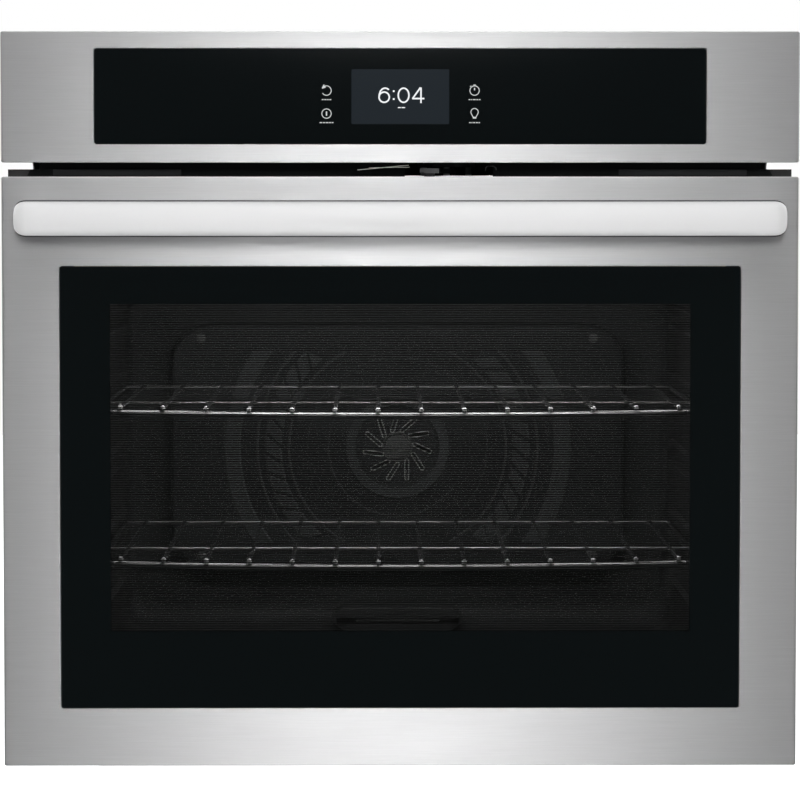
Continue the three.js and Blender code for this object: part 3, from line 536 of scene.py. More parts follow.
# ---------------------------------------------------------------- door
def steel_front(name, body, outer, opening, back, replaced):
    """A folded steel front with an opening: rounded at its bends, crisp round the glass."""
    lip, bend = 1.1, 1.8
    rows = [
        (*inset(outer, 1), 1, back),
        (*outer, 2, back),
        (*outer, 2, FACE_Y + bend),
        (*inset(outer, 0.13 * bend), 2, FACE_Y + 0.5 * bend),
        (*inset(outer, 0.5 * bend), 2, FACE_Y + 0.13 * bend),
        (*inset(outer, bend), 2, FACE_Y),
        (*inset(opening, -lip), 3.6, FACE_Y),
        (*inset(opening, -0.6 * lip), 3.2, FACE_Y + 0.1 * lip),
        (*inset(opening, -0.2 * lip), 2.8, FACE_Y + 0.32 * lip),
        (*opening, 2.6, FACE_Y + 0.7 * lip),
        (*opening, 2.6, FACE_Y + 3),
        (*inset(opening, -1), 3.5, FACE_Y + 3),
        (*inset(opening, -1), 3.5, FACE_Y + 1.2),
        (*inset(outer, bend + 0.6), 1.5, FACE_Y + 1.2),
        (*inset(outer, 1), 1, FACE_Y + 2.4),
        (*inset(outer, 1), 1, back),
    ]
    bm = bmesh.new()
    add_loft(bm, rect_rings(rows))
    bmesh.ops.remove_doubles(bm, verts=bm.verts, dist=WELD)
    piece = finish_mesh(name, bm, STEEL, body, smooth=28)
    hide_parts(replaced)


def pane(name, body, rect, corner, y0, y1, material, replaced):
    """A sheet of glass with ground edges."""
    edge = 0.5
    rows = [
        (*inset(rect, edge), corner, y0),
        (*rect, corner, y0 + edge),
        (*rect, corner, y1 - edge),
        (*inset(rect, edge), corner, y1),
    ]
    bm = bmesh.new()
    add_loft(bm, rect_rings(rows), cap_first=True, cap_last=True)
    piece = finish_mesh(name, bm, material, body, smooth=28)
    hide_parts(replaced)


def handle_shape(x):
    """Front and back of the bar at x, and half its height: it bows forward, and its ends round off."""
    off = max(0.0, (abs(x) - HANDLE["half"] + HANDLE["corner"]) / HANDLE["corner"])
    lost = 1 - math.sqrt(max(0.0, 1 - off * off))
    middle = HANDLE["front"] + (HANDLE["end_front"] - HANDLE["front"]) * (x / HANDLE["half"]) ** 2
    half_height = (HANDLE["high"] - HANDLE["low"]) / 2 - 0.75 * HANDLE["corner"] * lost
    return middle + 7 * lost, middle + HANDLE["depth"] - 4 * lost, half_height


def shell_profile(x):
    """The satin bar: gently crowned in front, with rounded long edges."""
    front, back, half_height = handle_shape(x)
    top, edge, crown = half_height - 1.2, 3.4, 1.8
    face = [(front + crown * (k / 6) ** 2, (top - edge) * k / 6) for k in range(7)]
    for a in (25, 50, 75):
        c, s = cos_sin(a)
        face.append((front + crown + 0.6 + edge * (1 - c), top - edge + edge * s))
    return face + [(front + 7, top), (back - 3.5, top), (back - 1, top - 1), (back, top - 3.5)]


def shade_line_profile(x):
    """A dark line round the middle of the bar: painted shade along its top and bottom edges."""
    front, _, top = handle_shape(x)
    near = front + 6.4
    rim = [(near, top - 0.8), (near + 0.4, top - 0.2), (near + 1.2, top), (near + 2.2, top - 0.8)]
    return [(near, 0)] + rim


def handle():
    """A bowed bar and the dark line of painted shade round it, both of them lofted along the same stations.
    """
    half, corner = HANDLE["half"], HANDLE["corner"]
    straight = [(half - corner) * k / 30 for k in range(-30, 31)]
    tip = [half - corner * (1 - math.cos(math.radians(a))) for a in range(75, -1, -15)]
    stations = [-x for x in reversed(tip)] + straight + tip
    middle = (HANDLE["low"] + HANDLE["high"]) / 2
    for name, profile, material in (
        ("handle_bar_shell", shell_profile, SATIN),
        ("handle_bar_shade_line", shade_line_profile, DARK_STEEL),
    ):
        rings = []
        for x in stations:
            upper = profile(x)
            lower = [(x, y, middle - z) for y, z in reversed(upper[1:])]
            rings.append([(x, y, middle + z) for y, z in upper] + lower)
        bm = bmesh.new()
        add_loft(bm, rings, cap_first=True, cap_last=True)
        bar = finish_mesh(name, bm, material, "door", smooth=50)
        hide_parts("handle_bar")


def handle_posts():
    """Cast posts: wide where they meet the door, waisted, and buried in the back of the bar."""
    post_x, post_z, corner = 345, 532.5, 5
    shape = ((-52.2, 13, 13.5), (-54, 13, 13.5), (-57, 11.5, 12), (-68, 10.5, 11), (-77, 11.5, 12))
    for side, name in ((-1, "left"), (1, "right")):
        x = post_x * side
        rows = [(x - wide, x + wide, post_z - tall, post_z + tall, corner, y) for y, wide, tall in shape]
        bm = bmesh.new()
        add_loft(bm, rect_rings(rows), cap_first=True, cap_last=True)
        post = finish_mesh(f"handle_post_{name}_cast", bm, SATIN, "door")
        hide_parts(f"handle_post_{name}")


# ---------------------------------------------------------------- control panel
def ribbon(bm, path, width, y, thick=0.12, closed=False):
    """A flat printed stroke along a path of (x, z) points on the glass."""
    count = len(path)
    left, right = [], []
    for i, (x, z) in enumerate(path):
        a = path[(i - 1) % count] if closed or i else path[0]
        b = path[(i + 1) % count] if closed or i < count - 1 else path[-1]
        dx, dz = b[0] - a[0], b[1] - a[1]
        length = math.hypot(dx, dz) or 1.0
        nx, nz = -dz / length * width / 2, dx / length * width / 2
        left.append((x + nx, z + nz))
        right.append((x - nx, z - nz))
    sections = []
    for (lx, lz), (rx, rz) in zip(left, right):
        sections.append([(lx, y, lz), (rx, y, rz), (rx, y - thick, rz), (lx, y - thick, lz)])
    if closed:
        add_loop(bm, sections, weld=1e-5)
    else:
        add_loft(bm, sections, cap_first=True, cap_last=True)


def caption(bm, x, z, widths, y):
    """A row of short dashes that stands in for a word."""
    gap = 0.7
    left = x - (sum(widths) + gap * (len(widths) - 1)) / 2
    for width in widths:
        ribbon(bm, [(left, z), (left + width, z)], 0.95, y)
        left += width + gap


def touch_symbols():
    """Back, power, timer and lamp symbols either side of the display, each over its caption."""
    y = FACE_Y - 0.4
    line = 0.8
    left, right = -70.4, 70.8
    upper, lower = 654.5, 632.6
    r = 4.5
    bm = bmesh.new()

    ribbon(bm, arc(left, upper, r, 128, -148, 22), line, y)
    ribbon(bm, [(left - 4.3, upper + 2.4), (left - 0.9, upper + 3.6)], 1.5, y)
    ribbon(bm, [(left - 3.4, upper + 3.4), (left - 2.2, upper + 5.6)], 1.2, y)

    ribbon(bm, arc(left, lower, r, 0, 337.5, 15), line, y, closed=True)
    ribbon(bm, [(left, lower - 2.0), (left, lower + 2.0)], 1.3, y)

    ribbon(bm, arc(right, upper, r, 0, 337.5, 15), line, y, closed=True)
    ribbon(bm, [(right, upper + 0.2), (right, upper + 2.6)], 1.1, y)
    ribbon(bm, [(right - 1.2, upper + 5.3), (right + 1.2, upper + 5.3)], 0.8, y)
    ribbon(bm, [(right - 4.4, upper + 3.6), (right - 3.2, upper + 4.6)], 0.8, y)

    bulb = arc(right, lower + 1.4, 3.5, -38, 218, 18)
    neck = 1.5
    ribbon(bm, [(right + neck, lower - 3.2)] + bulb + [(right - neck, lower - 3.2)], line, y)
    ribbon(bm, [(right - neck - 0.2, lower - 3.9), (right + neck + 0.2, lower - 3.9)], 1.7, y)

    drop = 8.6
    caption(bm, left, upper - drop, (1.7, 1.9, 1.5, 1.8), y)
    caption(bm, left, lower - drop, (2.4, 1.9, 2.6, 1.7, 1.7), y)
    caption(bm, right, upper - drop, (1.6, 1.0, 2.6, 1.8, 1.4), y)
    caption(bm, right, lower - drop, (1.4, 1.0, 1.9, 1.8, 1.3), y)
    finish_mesh("touch_symbols", bm, INK)


def display():
    """The lit screen and the time on it."""
    rows = [(*DISPLAY, 0.8, FACE_Y - 0.38), (*DISPLAY, 0.8, FACE_Y - 0.46)]
    bm = bmesh.new()
    add_loft(bm, rect_rings(rows, steps=3), cap_first=True, cap_last=True)
    finish_mesh("display_screen", bm, SCREEN)

    y = FACE_Y - 0.47
    line = 1.5
    low, high = 643.3, 656.8
    bm = bmesh.new()

    six = -15.4
    r = 4.9
    ribbon(bm, arc(six, low + r, r, 0, 342, 19), line, y, closed=True)
    back = [(six - r, low + r), (six - r + 0.2, low + r + 2.4), (six - r + 1.3, high - 2.8)]
    ribbon(bm, back + arc(six + 0.9, high - 4.6, 4.6, 128, 40, 8), line, y)

    colon = -6.3
    for z in (low + 3.1, high - 2.9):
        ribbon(bm, [(colon, z - 0.85), (colon, z + 0.85)], 1.7, y)

    nought, wide = 3.1, 5.1
    middle, tall = (low + high) / 2, (high - low) / 2
    turns = [2 * math.pi * k / 24 for k in range(24)]
    oval = [(nought + wide * math.cos(a), middle + tall * math.sin(a)) for a in turns]
    ribbon(bm, oval, line, y, closed=True)

    stem = 19.7
    bar = low + 3.6
    ribbon(bm, [(stem - 0.5, high + 0.6), (stem - 7.9, bar + 0.2), (stem - 7.9, bar)], line, y)
    ribbon(bm, [(stem - 8.4, bar), (stem + 3.2, bar)], line, y)
    ribbon(bm, [(stem, high + 0.6), (stem, low - 0.7)], line, y)

    caption(bm, 1.1, low - 5.0, (2.8, 3.4), y)
    finish_mesh("display_time", bm, DIGITS)


# ---------------------------------------------------------------- cavity
def ledge_spans():
    """The lowest and the highest point of each pressed ledge: a pair at each rack level."""
    for level in RACK_LEVELS:
        yield level - 13.3, level - 3.4
        yield level + 10, level + 18


def rib_height(z):
    """How far the ledges stand off the side wall at a height."""
    stand = 6.8
    for low, high in ledge_spans():
        if low < z < high:
            edge = min((z - low) / 2.6, (high - z) / 1.4, 1.0)
            return stand * edge * edge * (3 - 2 * edge)
    return 0.0


def wall_heights():
    """Heights at which the side wall is sampled: close together on the ledges."""
    heights = set()
    for low, high in ledge_spans():
        heights |= {low, low + 0.9, low + 1.8, low + 2.6, high - 1.4, high - 0.9, high - 0.4, high}
    bottom = CAVITY["floor"] + CAVITY["cove"] + CAVITY["corner"]
    top = CAVITY["ceiling"] - CAVITY["side_cove"] - CAVITY["corner"]
    return sorted(h for h in heights if bottom < h < top)


def cavity_ring(y, turn, ledges):
    """The cavity's outline at one depth: turn runs from 0 to 1 as the walls come round into the back."""
    side = CAVITY["side_cove"] * turn
    half, ceiling = CAVITY["half"] - side, CAVITY["ceiling"] - side
    floor = CAVITY["floor"] + CAVITY["cove"] * turn
    steps = 6
    loop = rounded_rect(-half, half, floor, ceiling, CAVITY["corner"], steps=steps)
    right = [(half - rib_height(z) * ledges, z) for z in wall_heights()]
    left = [(-x, z) for x, z in reversed(right)]
    first, third = steps + 1, 3 * (steps + 1)
    return at_depth(loop[:first] + right + loop[first:third] + left + loop[third:], y)


def cavity():
    """One enamelled tub with coved corners and pressed ledges, in place of its five flat sheets."""
    back, cove = CAVITY["back"], CAVITY["cove"]
    ledge_front, ledge_back, run = 18, 424, 14
    rings = [cavity_ring(CAVITY["front"], 0, 0), cavity_ring(ledge_front, 0, 0)]
    for k in range(1, 5):
        rings.append(cavity_ring(ledge_front + run * (k / 4), 0, smooth_step(k / 4)))
    for k in range(4):
        t = 1 - k / 4
        rings.append(cavity_ring(ledge_back + run * (1 - t), 0, smooth_step(t)))
    rings.append(cavity_ring(back - cove, 0, 0))
    for a in range(15, 91, 15):
        c, s = cos_sin(a)
        rings.append(cavity_ring(back - cove + cove * s, 1 - c, 0))
    bm = bmesh.new()
    add_loft(bm, rings, cap_last=True)
    piece = finish_mesh("cavity_tub", bm, CAVITY_ENAMEL, smooth=40)
    wall = piece.modifiers.new("sheet", "SOLIDIFY")
    wall.thickness = 1.0 * MM
    wall.offset = 1.0
    piece.modifiers.move(1, 0)
    sheets = ("cavity_wall_left", "cavity_wall_right", "cavity_ceiling", "cavity_floor", "cavity_back")
    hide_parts(*sheets)


def bake_cover():
    """The low cover at the back of the floor, over the ends of the lower element."""
    rows = []
    for y, d in ((506, 0), (474, 0), (471.5, 0.8), (470.4, 2.4), (470, 5)):
        rows.append((-73 + d, 73 - d, 64.3, 92 - d, 18 - d * 0.6, y))
    bm = bmesh.new()
    add_loft(bm, rect_rings(rows, steps=8), cap_first=True, cap_last=True)
    add_tube(bm, [(-46, 469.6, 76), (46, 469.6, 76)], 1.6, sides=10)
    finish_mesh("bake_terminal_cover", bm, CAVITY_ENAMEL)


# ---------------------------------------------------------------- fan cover
def add_arc_band(bm, r0, r1, start, end, rise, skew=0.0, clip=107.0):
    """A pressed strip on an arc round the fan, cut off level at the height clip above and below it."""
    steps = max(3, int(abs(end - start) / 4))
    y = COVER["front"]
    edge = min(2.0, (r1 - r0) * 0.25)
    sections = []
    for i in range(steps + 1):
        t = i / steps
        ring = []
        profile = ((r0, 0.15), (r0 + edge, rise), (r1 - edge, rise), (r1, 0.15))
        for r, h in profile + ((r1, -0.3), (r0, -0.3)):
            a = math.radians(start + (end - start) * t + skew * (r - r0) / (r1 - r0))
            x, z = r * math.cos(a), r * math.sin(a)
            if abs(z) > clip:
                z = math.copysign(clip, z)
                x = math.copysign(math.sqrt(max(0.0, r * r - z * z)), x)
            ring.append((x, y - h, FAN_Z + z))
        sections.append(ring)
    add_loft(bm, sections, cap_first=True, cap_last=True)


def add_ring(bm, r0, r1, y, rise):
    """A low raised ring round the fan."""
    shoulder = rise * 0.6
    shape = ((r0, -0.5), (r0, shoulder), (r0 + 0.3, rise), (r1 - 0.3, rise), (r1, shoulder), (r1, -0.5))
    add_loop(bm, [at_depth(circle(0, FAN_Z, r, 64), y - height) for r, height in shape])


def slot_outline(x, z, length, width, angle, ends=5):
    """A slot with round ends, as points in order round it."""
    half = (length - width) / 2
    points = []
    for turn in (0.0, math.pi):
        for k in range(ends + 1):
            a = angle + turn - math.pi / 2 + math.pi * k / ends
            cx = x + half * math.cos(angle + turn)
            cz = z + half * math.sin(angle + turn)
            points.append((cx + width / 2 * math.cos(a), cz + width / 2 * math.sin(a)))
    return points


def add_swirl_plate(bm, y, radius, thick):
    """The disc in front of the fan wheel, cut through by leaning slots. Returns the slots' outlines."""
    loops = [circle(0, FAN_Z, radius, 64)]
    for k in range(SWIRL["count"]):
        a = math.radians(SWIRL["first"] + 360 * k / SWIRL["count"])
        x, z = SWIRL["radius"] * math.cos(a), FAN_Z + SWIRL["radius"] * math.sin(a)
        loops.append(slot_outline(x, z, SWIRL["length"], SWIRL["width"], a - math.radians(SWIRL["lean"])))
    edges = []
    for loop in loops:
        made = [bm.verts.new(p) for p in at_depth(loop, y)]
        edges += [bm.edges.new((made[i], made[(i + 1) % len(made)])) for i in range(len(made))]
    filled = bmesh.ops.triangle_fill(bm, use_beauty=True, use_dissolve=False, edges=edges)
    faces = [g for g in filled["geom"] if isinstance(g, bmesh.types.BMFace)]
    swept = bmesh.ops.extrude_face_region(bm, geom=faces)
    moved = [g for g in swept["geom"] if isinstance(g, bmesh.types.BMVert)]
    bmesh.ops.translate(bm, verts=moved, vec=(0, thick, 0))
    return loops[1:]


def fan_cover():
    """A pressed tray over the fan, with a swirl of slots in its middle."""
    face, r = COVER["front"], COVER["r"]
    outer = (-COVER["x"], COVER["x"], FAN_Z - COVER["z"], FAN_Z + COVER["z"])
    steps = 15
    rows = [
        (*outer, r, COVER["back"]),
        (*outer, r, face + 5),
        (*inset(outer, 0.8), r, face + 2.4),
        (*inset(outer, 2.6), r, face + 0.6),
        (*inset(outer, 5), r - 3, face),
        (*inset(outer, 24), r - 12, face),
    ]
    rings = rect_rings(rows, steps=steps)
    outer_step = ((103, 0), (101, -1.6), (99, -2), (79, -2), (77.5, -1.4), (76, 0))
    inner_step = ((60, 0), (57.5, -0.6), (55.5, -2.6), (48.5, -2.6), (46.5, -0.6), (45, 0.6), (43, 1))
    for radius, depth in outer_step + inner_step:
        rings.append(at_depth(circle(0, FAN_Z, radius, 4 * (steps + 1)), face + depth))
    bm = bmesh.new()
    add_loft(bm, rings)
    slots = add_swirl_plate(bm, face + 1, 43.2, 1.0)
    cover = finish_mesh("fan_cover", bm, CAVITY_ENAMEL, smooth=40)
    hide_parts("fan_baffle")
    cover_louvres(face)
    cover_slot_rims(slots, face)
    cover_hub(face)


def cover_louvres(face):
    """The pressed arcs at the sides of the cover, its slanted louvres and its raised rings, in a lighter
    enamel that paints them as lit.
    """
    bm = bmesh.new()
    for side in (0, 180):
        add_arc_band(bm, 175, 194, side - 38, side + 38, 2.0)
        add_arc_band(bm, 155, 158, side - 48, side + 48, 0.9)
        add_arc_band(bm, 120, 122.5, side - 62, side + 62, 0.9)
        for k in range(-6, 6):
            add_arc_band(bm, 129, 148, side + k * 8.4 + 1.1, side + k * 8.4 + 7.3, 2.0, skew=-6.0)
    for r0, r1, depth, rise in ((47, 57, 2.4, 0.7), (76.6, 77.8, 0.4, 0.7), (99.6, 100.8, 0.9, 0.9)):
        add_ring(bm, r0, r1, face - depth, rise)
    finish_mesh("fan_cover_louvres", bm, LIT_PRESSED_ENAMEL, smooth=40)


def cover_slot_rims(slots, face):
    # Thin tubes round the slots in pale paint: painted highlights along the slots' edges.
    bm = bmesh.new()
    for loop in slots:
        add_tube(bm, at_depth(loop, face + 0.6), 0.62, sides=6, closed=True)
    finish_mesh("fan_cover_slot_rims", bm, SLOT_RIM_HIGHLIGHT)


def cover_hub(face):
    """The domed hub with a groove round it, and the screws that hold the cover."""
    rim = [(0, 16.8), (1.0, 16.8), (1.2, 16.2), (1.2, 14.9), (0.2, 14.8), (0.2, 13.8), (2.6, 13.6)]
    dome = [(3.0, 12.6), (3.4, 6), (2.2, 5.4), (2.2, 2.6), (3.4, 2.2)]
    bm = bmesh.new()
    add_disc(bm, (0, face + 1.2, FAN_Z), (0, -1, 0), rim + dome, sides=40)
    finish_mesh("fan_cover_hub", bm, HUB)
    for i, (x, z) in enumerate(((-219, 122), (219, 122), (-219, -122), (219, -122))):
        screw(f"fan_cover_screw_{i + 1}", (x, face, FAN_Z + z), (0, -1, 0), 4.2, material=HUB)


# ---------------------------------------------------------------- fasteners
def screw(name, centre, axis, r, body="oven", material=SCREW):
    """A pan-head screw on its washer, with a round recess in its head."""
    washer = [(0, r * 1.25), (0.5, r * 1.25)]
    head = [(0.7, r), (1.4, r * 0.96), (2.0, r * 0.75), (2.2, r * 0.4), (1.4, r * 0.36)]
    bm = bmesh.new()
    add_disc(bm, centre, axis, washer + head, sides=20)
    finish_mesh(name, bm, material, body)


def screws(prefix, places, axis, radius, body="oven"):
    for i, place in enumerate(places):
        screw(f"{prefix}_{i + 1}", place, axis, radius, body)


# ---------------------------------------------------------------- racks
def rack(name, level):
    """A wire rack: rails round its edge, bowed forward in front, and wires whose ends show above it."""
    half, front, back, middle, bow, dip = 300.5, 45, 435, 175, 12, 2.5
    rail, wire, corner = 3.0, 2.1, 18
    wires, pitch = 14, 42.4
    span = half - corner

    def sag(x):
        return 1 - (x / span) ** 2

    left = fillet([(-half, back, level), (-half, front, level), (0, front, level)], corner)[:-1]
    right = [Vector((-p.x, p.y, p.z)) for p in reversed(left)]
    run = []
    for i in range(25):
        x = -span + 2 * span * i / 24
        run.append(Vector((x, front - bow * sag(x), level - dip * sag(x))))
    bm = bmesh.new()
    add_tube(bm, run, rail, sides=16)
    finish_mesh(f"{name}_front_rail", bm, RAIL, f"{name}_body", smooth=50)
    bm = bmesh.new()
    # The middle and back rails take the darkest chrome: painted shade for the rails furthest from the light.
    for y, radius in ((middle, 2.3), (back, 1.9)):
        add_tube(bm, [(-half, y, level), (half, y, level)], radius, sides=12)
    finish_mesh(f"{name}_cross_rails", bm, RAIL_SHADED, f"{name}_body", smooth=50)
    bm = bmesh.new()
    for side in (left, right):
        add_tube(bm, side, rail - 0.05, sides=12)
    high = level + rail + wire - 0.6
    # Beads on the wire ends in pale paint: painted highlights where the chrome ends would catch light.
    beads = bmesh.new()
    for i in range(wires):
        x = (i - (wires - 1) / 2) * pitch
        tip = (x, front - bow * sag(x) - 2, high - dip * sag(x))
        add_tube(bm, [tip, (x, middle - 40, high), (x, back + 2, high)], wire, sides=10)
        ball = [(-2.4, 0.9), (-1.6, 2.1), (0, 2.6), (1.4, 2.3), (2.4, 1.2)]
        add_disc(beads, (tip[0], tip[1], tip[2] + 1.1), (0, -1, 0), ball, sides=12)
    finish_mesh(f"{name}_wire_ends", beads, WIRE_END_HIGHLIGHT, f"{name}_body")
    piece = finish_mesh(f"{name}_wires", bm, WIRE, f"{name}_body", smooth=50)
    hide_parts(name)


# ---------------------------------------------------------------- seal and insulation
def seal():
    """The braided tube round the cavity's mouth."""
    path = at_depth(rounded_rect(-316, 316, 53, 558, 27, steps=10), -8.5)
    bm = bmesh.new()
    add_tube(bm, path, 4.0, sides=10, closed=True)
    piece = finish_mesh("door_seal_braided", bm, BRAID)
    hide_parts("door_gasket")


def soft_batt(node, body):
    """A fibre blanket in the space of a CAD solid: its edges go soft and its faces lumpy, always inwards."""
    voxel = 9.0
    batt = add_object(f"{node}_batt", NODES[node].data.copy())
    remesh = batt.modifiers.new("soft edges", "REMESH")
    remesh.mode = "VOXEL"
    remesh.voxel_size = voxel * MM
    remesh.use_smooth_shade = True
    soft = bpy.data.meshes.new_from_object(batt.evaluated_get(bpy.context.evaluated_depsgraph_get()))
    batt.modifiers.clear()
    batt.data = soft
    normals = [v.normal.copy() for v in soft.vertices]
    for v, normal in zip(soft.vertices, normals):
        lump = noise.noise(v.co * 26) * 0.5 + 0.5
        v.co -= normal * ((0.5 + 1.7 * lump) * MM)
    soft.materials.clear()
    soft.materials.append(FIBRE)
    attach(batt, body)
    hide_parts(node)


# ---------------------------------------------------------------- chassis details
def on_panel(panel, u, v, rise):
    """A point that stands off one of the casing's outer faces."""
    if panel == "top":
        return (u, v, CASING["top"] + rise)
    if panel == "rear":
        return (u, CASING["back"] + rise, v)
    side = 1 if panel == "right" else -1
    return (side * (CASING["half"] + rise), u, v)


def pressed(name, panel, fields, flank=5.0):
    """Raised fields pressed out of a panel: rows of (u0, u1, v0, v1, corner radius, height)."""
    bm = bmesh.new()
    for u0, u1, v0, v1, r, height in fields:
        rings = []
        for step, rise in ((0.0, -0.3), (0.1, 0.0), (0.3, 0.18), (0.7, 0.82), (0.9, 1.0), (1.6, 1.0)):
            d = flank * step
            loop = rounded_rect(u0 + d, u1 - d, v0 + d, v1 - d, max(r - d, 0.4), steps=8)
            rings.append([on_panel(panel, u, v, height * rise if rise > 0 else rise) for u, v in loop])
        add_loft(bm, rings, cap_first=True, cap_last=True)
    finish_mesh(name, bm, ZINC, smooth=50)


def side_screws(prefix, x, spots, radius):
    """The same screws on the left and on the right side."""
    for side, name in ((-1, "left"), (1, "right")):
        screws(f"{prefix}_{name}", [(side * x, y, z) for y, z in spots], (side, 0, 0), radius)


def casing_screws():
    half, top, back = CASING["half"], CASING["top"], CASING["back"]
    side_screws("side_screw", half, [(y, z) for y in (30, 200, 380, 560) for z in (20, 675)], 3.4)
    rear = [(x, back, z) for x in (-345, -115, 115, 345) for z in (20, 678)]
    rear += [(x, back, 340) for x in (-345, 345)]
    screws("rear_screw", rear, (0, 1, 0), 3.4)
    screws("top_screw", [(x, y, top) for x in (-344, 344) for y in (30, 290, 570)], (0, 0, 1), 3.4)
    trim = [(s * 369.5, -1.2, z) for s in (-1, 1) for z in (60, 200, 375, 530)]
    screws("trim_screw", trim, (0, -1, 0), 2.6)


def chassis_details():
    """Screws, pressed fields and seams on the galvanised casing."""
    casing_screws()
    for name in ("right", "left"):
        pressed(f"side_embossing_{name}", name, [(75, 525, 95, 560, 36, 3.2), (75, 270, 582, 612, 12, 2.0)])
        pressed(f"side_flange_{name}", name, [(566, 583, 12, 688, 1.2, 0.9)], flank=0.6)
    pressed("rear_embossing", "rear", [(-245, 245, 95, 500, 48, 4.2), (-300, 120, 545, 578, 12, 2.0)])
    pressed("conduit_plate", "rear", [(-312, -208, 606, 674, 4, 1.3)], flank=0.5)
    pressed("top_embossing", "top", [(-270, 270, 70, 370, 36, 3.0)])
    bm = bmesh.new()
    add_box(bm, (-352, 352), (-6.4, -5.2), (664, 709.5), 0.4)
    add_box(bm, (-352, 352), (-5.6, 3.5), (689.6, 690.6), 0.3)
    finish_mesh("panel_rear_closure", bm, ZINC)
    screws("conduit_screw", [(x, 585.2, 640) for x in (-304, -216)], (0, 1, 0), 3.0)
    screws("motor_screw", [(x, 588.2, FAN_Z + z) for x in (-62, 62) for z in (-62, 62)], (0, 1, 0), 3.4)
    side_screws("seam_screw", CASING["half"] + 1, [(575, z) for z in (60, 220, 380, 540)], 3.0)


def wiring():
    """Looms from the boards to the cable entry, the control panel and the blower."""
    to_entry = [(-260, 500, 612), (-262, 470, 640), (-268, 440, 640), (-262, 420, 620)]
    to_panel = [(-200, 300, 612), (-150, 250, 655), (-60, 60, 655), (-40, -20, 645), (-40, -27, 645)]
    to_blower = [(-190, 330, 610), (-60, 330, 606), (120, 300, 606), (180, 232, 610)]
    looms = (("mains", to_entry, 3.2), ("panel", to_panel, 3.4), ("blower", to_blower, 2.6))
    for name, points, radius in looms:
        bm = bmesh.new()
        add_tube(bm, fillet(points, 18, steps=5), radius, sides=10)
        finish_mesh(f"loom_{name}", bm, PLASTIC)


def vent_details():
    """What the dark gap above the door shows: two thin pale wires, two grey strips of painted light on the
    front frame, a clip and a black tray that also paints shade.
    """
    # Two thin pale wires hung across the gap.
    bm = bmesh.new()
    add_tube(bm, [(-41, -34, 578.9), (-20, -34, 580.9), (8, -34, 583.4)], 0.32, sides=8)
    add_tube(bm, [(-30, -35, 581.0), (9, -35, 581.5)], 0.23, sides=8)
    finish_mesh("pale_gap_wires", bm, CERAMIC)

    # Grey strips on the black front frame either side of its dip: painted light where the frame's face
    # catches light through the gap.
    bm = bmesh.new()
    for side in (-1, 1):
        add_box(bm, sorted((side * 212, side * 336)), (-5.4, -3.9), (573.6, 579.4), 0.4)
    finish_mesh("frame_painted_lit_strips", bm, CLIP_AND_LIT_FRAME_GREY)

    bm = bmesh.new()
    arch = [(82.5, 578), (82.5, 581.4), (85, 582.6), (90, 582.6), (92.5, 581), (92.5, 579)]
    add_tube(bm, at_depth(arch, -20), 0.6, sides=8)
    finish_mesh("panel_clip", bm, CLIP_AND_LIT_FRAME_GREY)

    # Matt black sheets round the latch bay and along the frame's dip: a tray, whose black also paints the
    # shade over the insulation seen through the gap.
    bm = bmesh.new()
    for x, y, top in (
        ((-0.8, 4.6), (2.4, 99), 591.2),
        ((90.4, 95.8), (2.4, 99), 591.2),
        ((1, 94), (94, 99), 591.2),
        ((-0.6, 95.6), (-2.6, 98), 571.2),
    ):
        add_box(bm, x, y, (568.2, top), 0.3)
    for x in ((-230, -1), (96, 230)):
        add_box(bm, x, (-2.6, 2.8), (569.4, 570.5), 0.3)
    finish_mesh("latch_tray", bm, MATT_BLACK)


def latch_hook():
    """The lock's lever: a stamped arm on a hub, with a folded head and a tip for the door's slot."""
    pivot, head = Vector((46, 40, 0)), Vector((28.5, -21, 0))
    along = (head - pivot).normalized()
    across = Vector((-along.y, along.x, 0))
    arm = [(-9, 4), (-6, 8), (2, 8.5), (12, 6), (52, 5.5), (57, 9.4), (63, 9.6), (64.5, 8.4)]
    right = [pivot + along * reach + across * half for reach, half in arm]
    left = [pivot + along * reach - across * half for reach, half in reversed(arm)]
    bm = bmesh.new()
    outline = [(p.x, p.y) for p in right + left]
    add_loft(bm, [[(x, y, z) for x, y in outline] for z in (575.7, 577.7)], cap_first=True, cap_last=True)
    add_disc(bm, (pivot.x, pivot.y, 577.6), (0, 0, 1), [(0, 7.6), (2.2, 7.6), (2.8, 6.8)], sides=24)
    turn = Matrix.Rotation(math.atan2(-along.x, along.y), 4, "Z")
    at_head = Matrix.Translation(pivot + along * 61.2) @ turn
    before = set(bm.verts)
    add_box(bm, (-5, 5), (1.7, 4.2), (560.5, 576.2), 0.4)
    bmesh.ops.transform(bm, matrix=at_head, verts=[v for v in bm.verts if v not in before])
    hook = finish_mesh("latch_hook_stamped", bm, BLACK_PAINT, "latch")
    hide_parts("latch_hook")

    # The head is grey while the lever and its tip are black: painted light on the lit head, with the tip
    # below left black in the shade behind the door's top.
    bm = bmesh.new()
    add_box(bm, (-9.4, 9.4), (-1.6, 4.4), (575.8, 580.5), 0.5)
    bmesh.ops.transform(bm, matrix=at_head, verts=list(bm.verts))
    finish_mesh("latch_hook_head", bm, HOOK_HEAD_LIT_GREY, "latch")


def door_inside():
    """Screws in the door's inner liner, and the floor of the slot that the lock's hook goes into."""
    liner = DOOR["liner"]
    places = [(x, liner, z) for x in (-345, 345) for z in (95, 300, 500)]
    places += [(x, liner, z) for z in (548, 32) for x in (-180, 180)]
    screws("door_screw", places, (0, 1, 0), 3.2, body="door")
    bm = bmesh.new()
    add_box(bm, (15, 78), (-30.6, -13.8), (553, 555.4), 0.4)
    finish_mesh("lock_slot_floor", bm, BLACK_PAINT, "door")


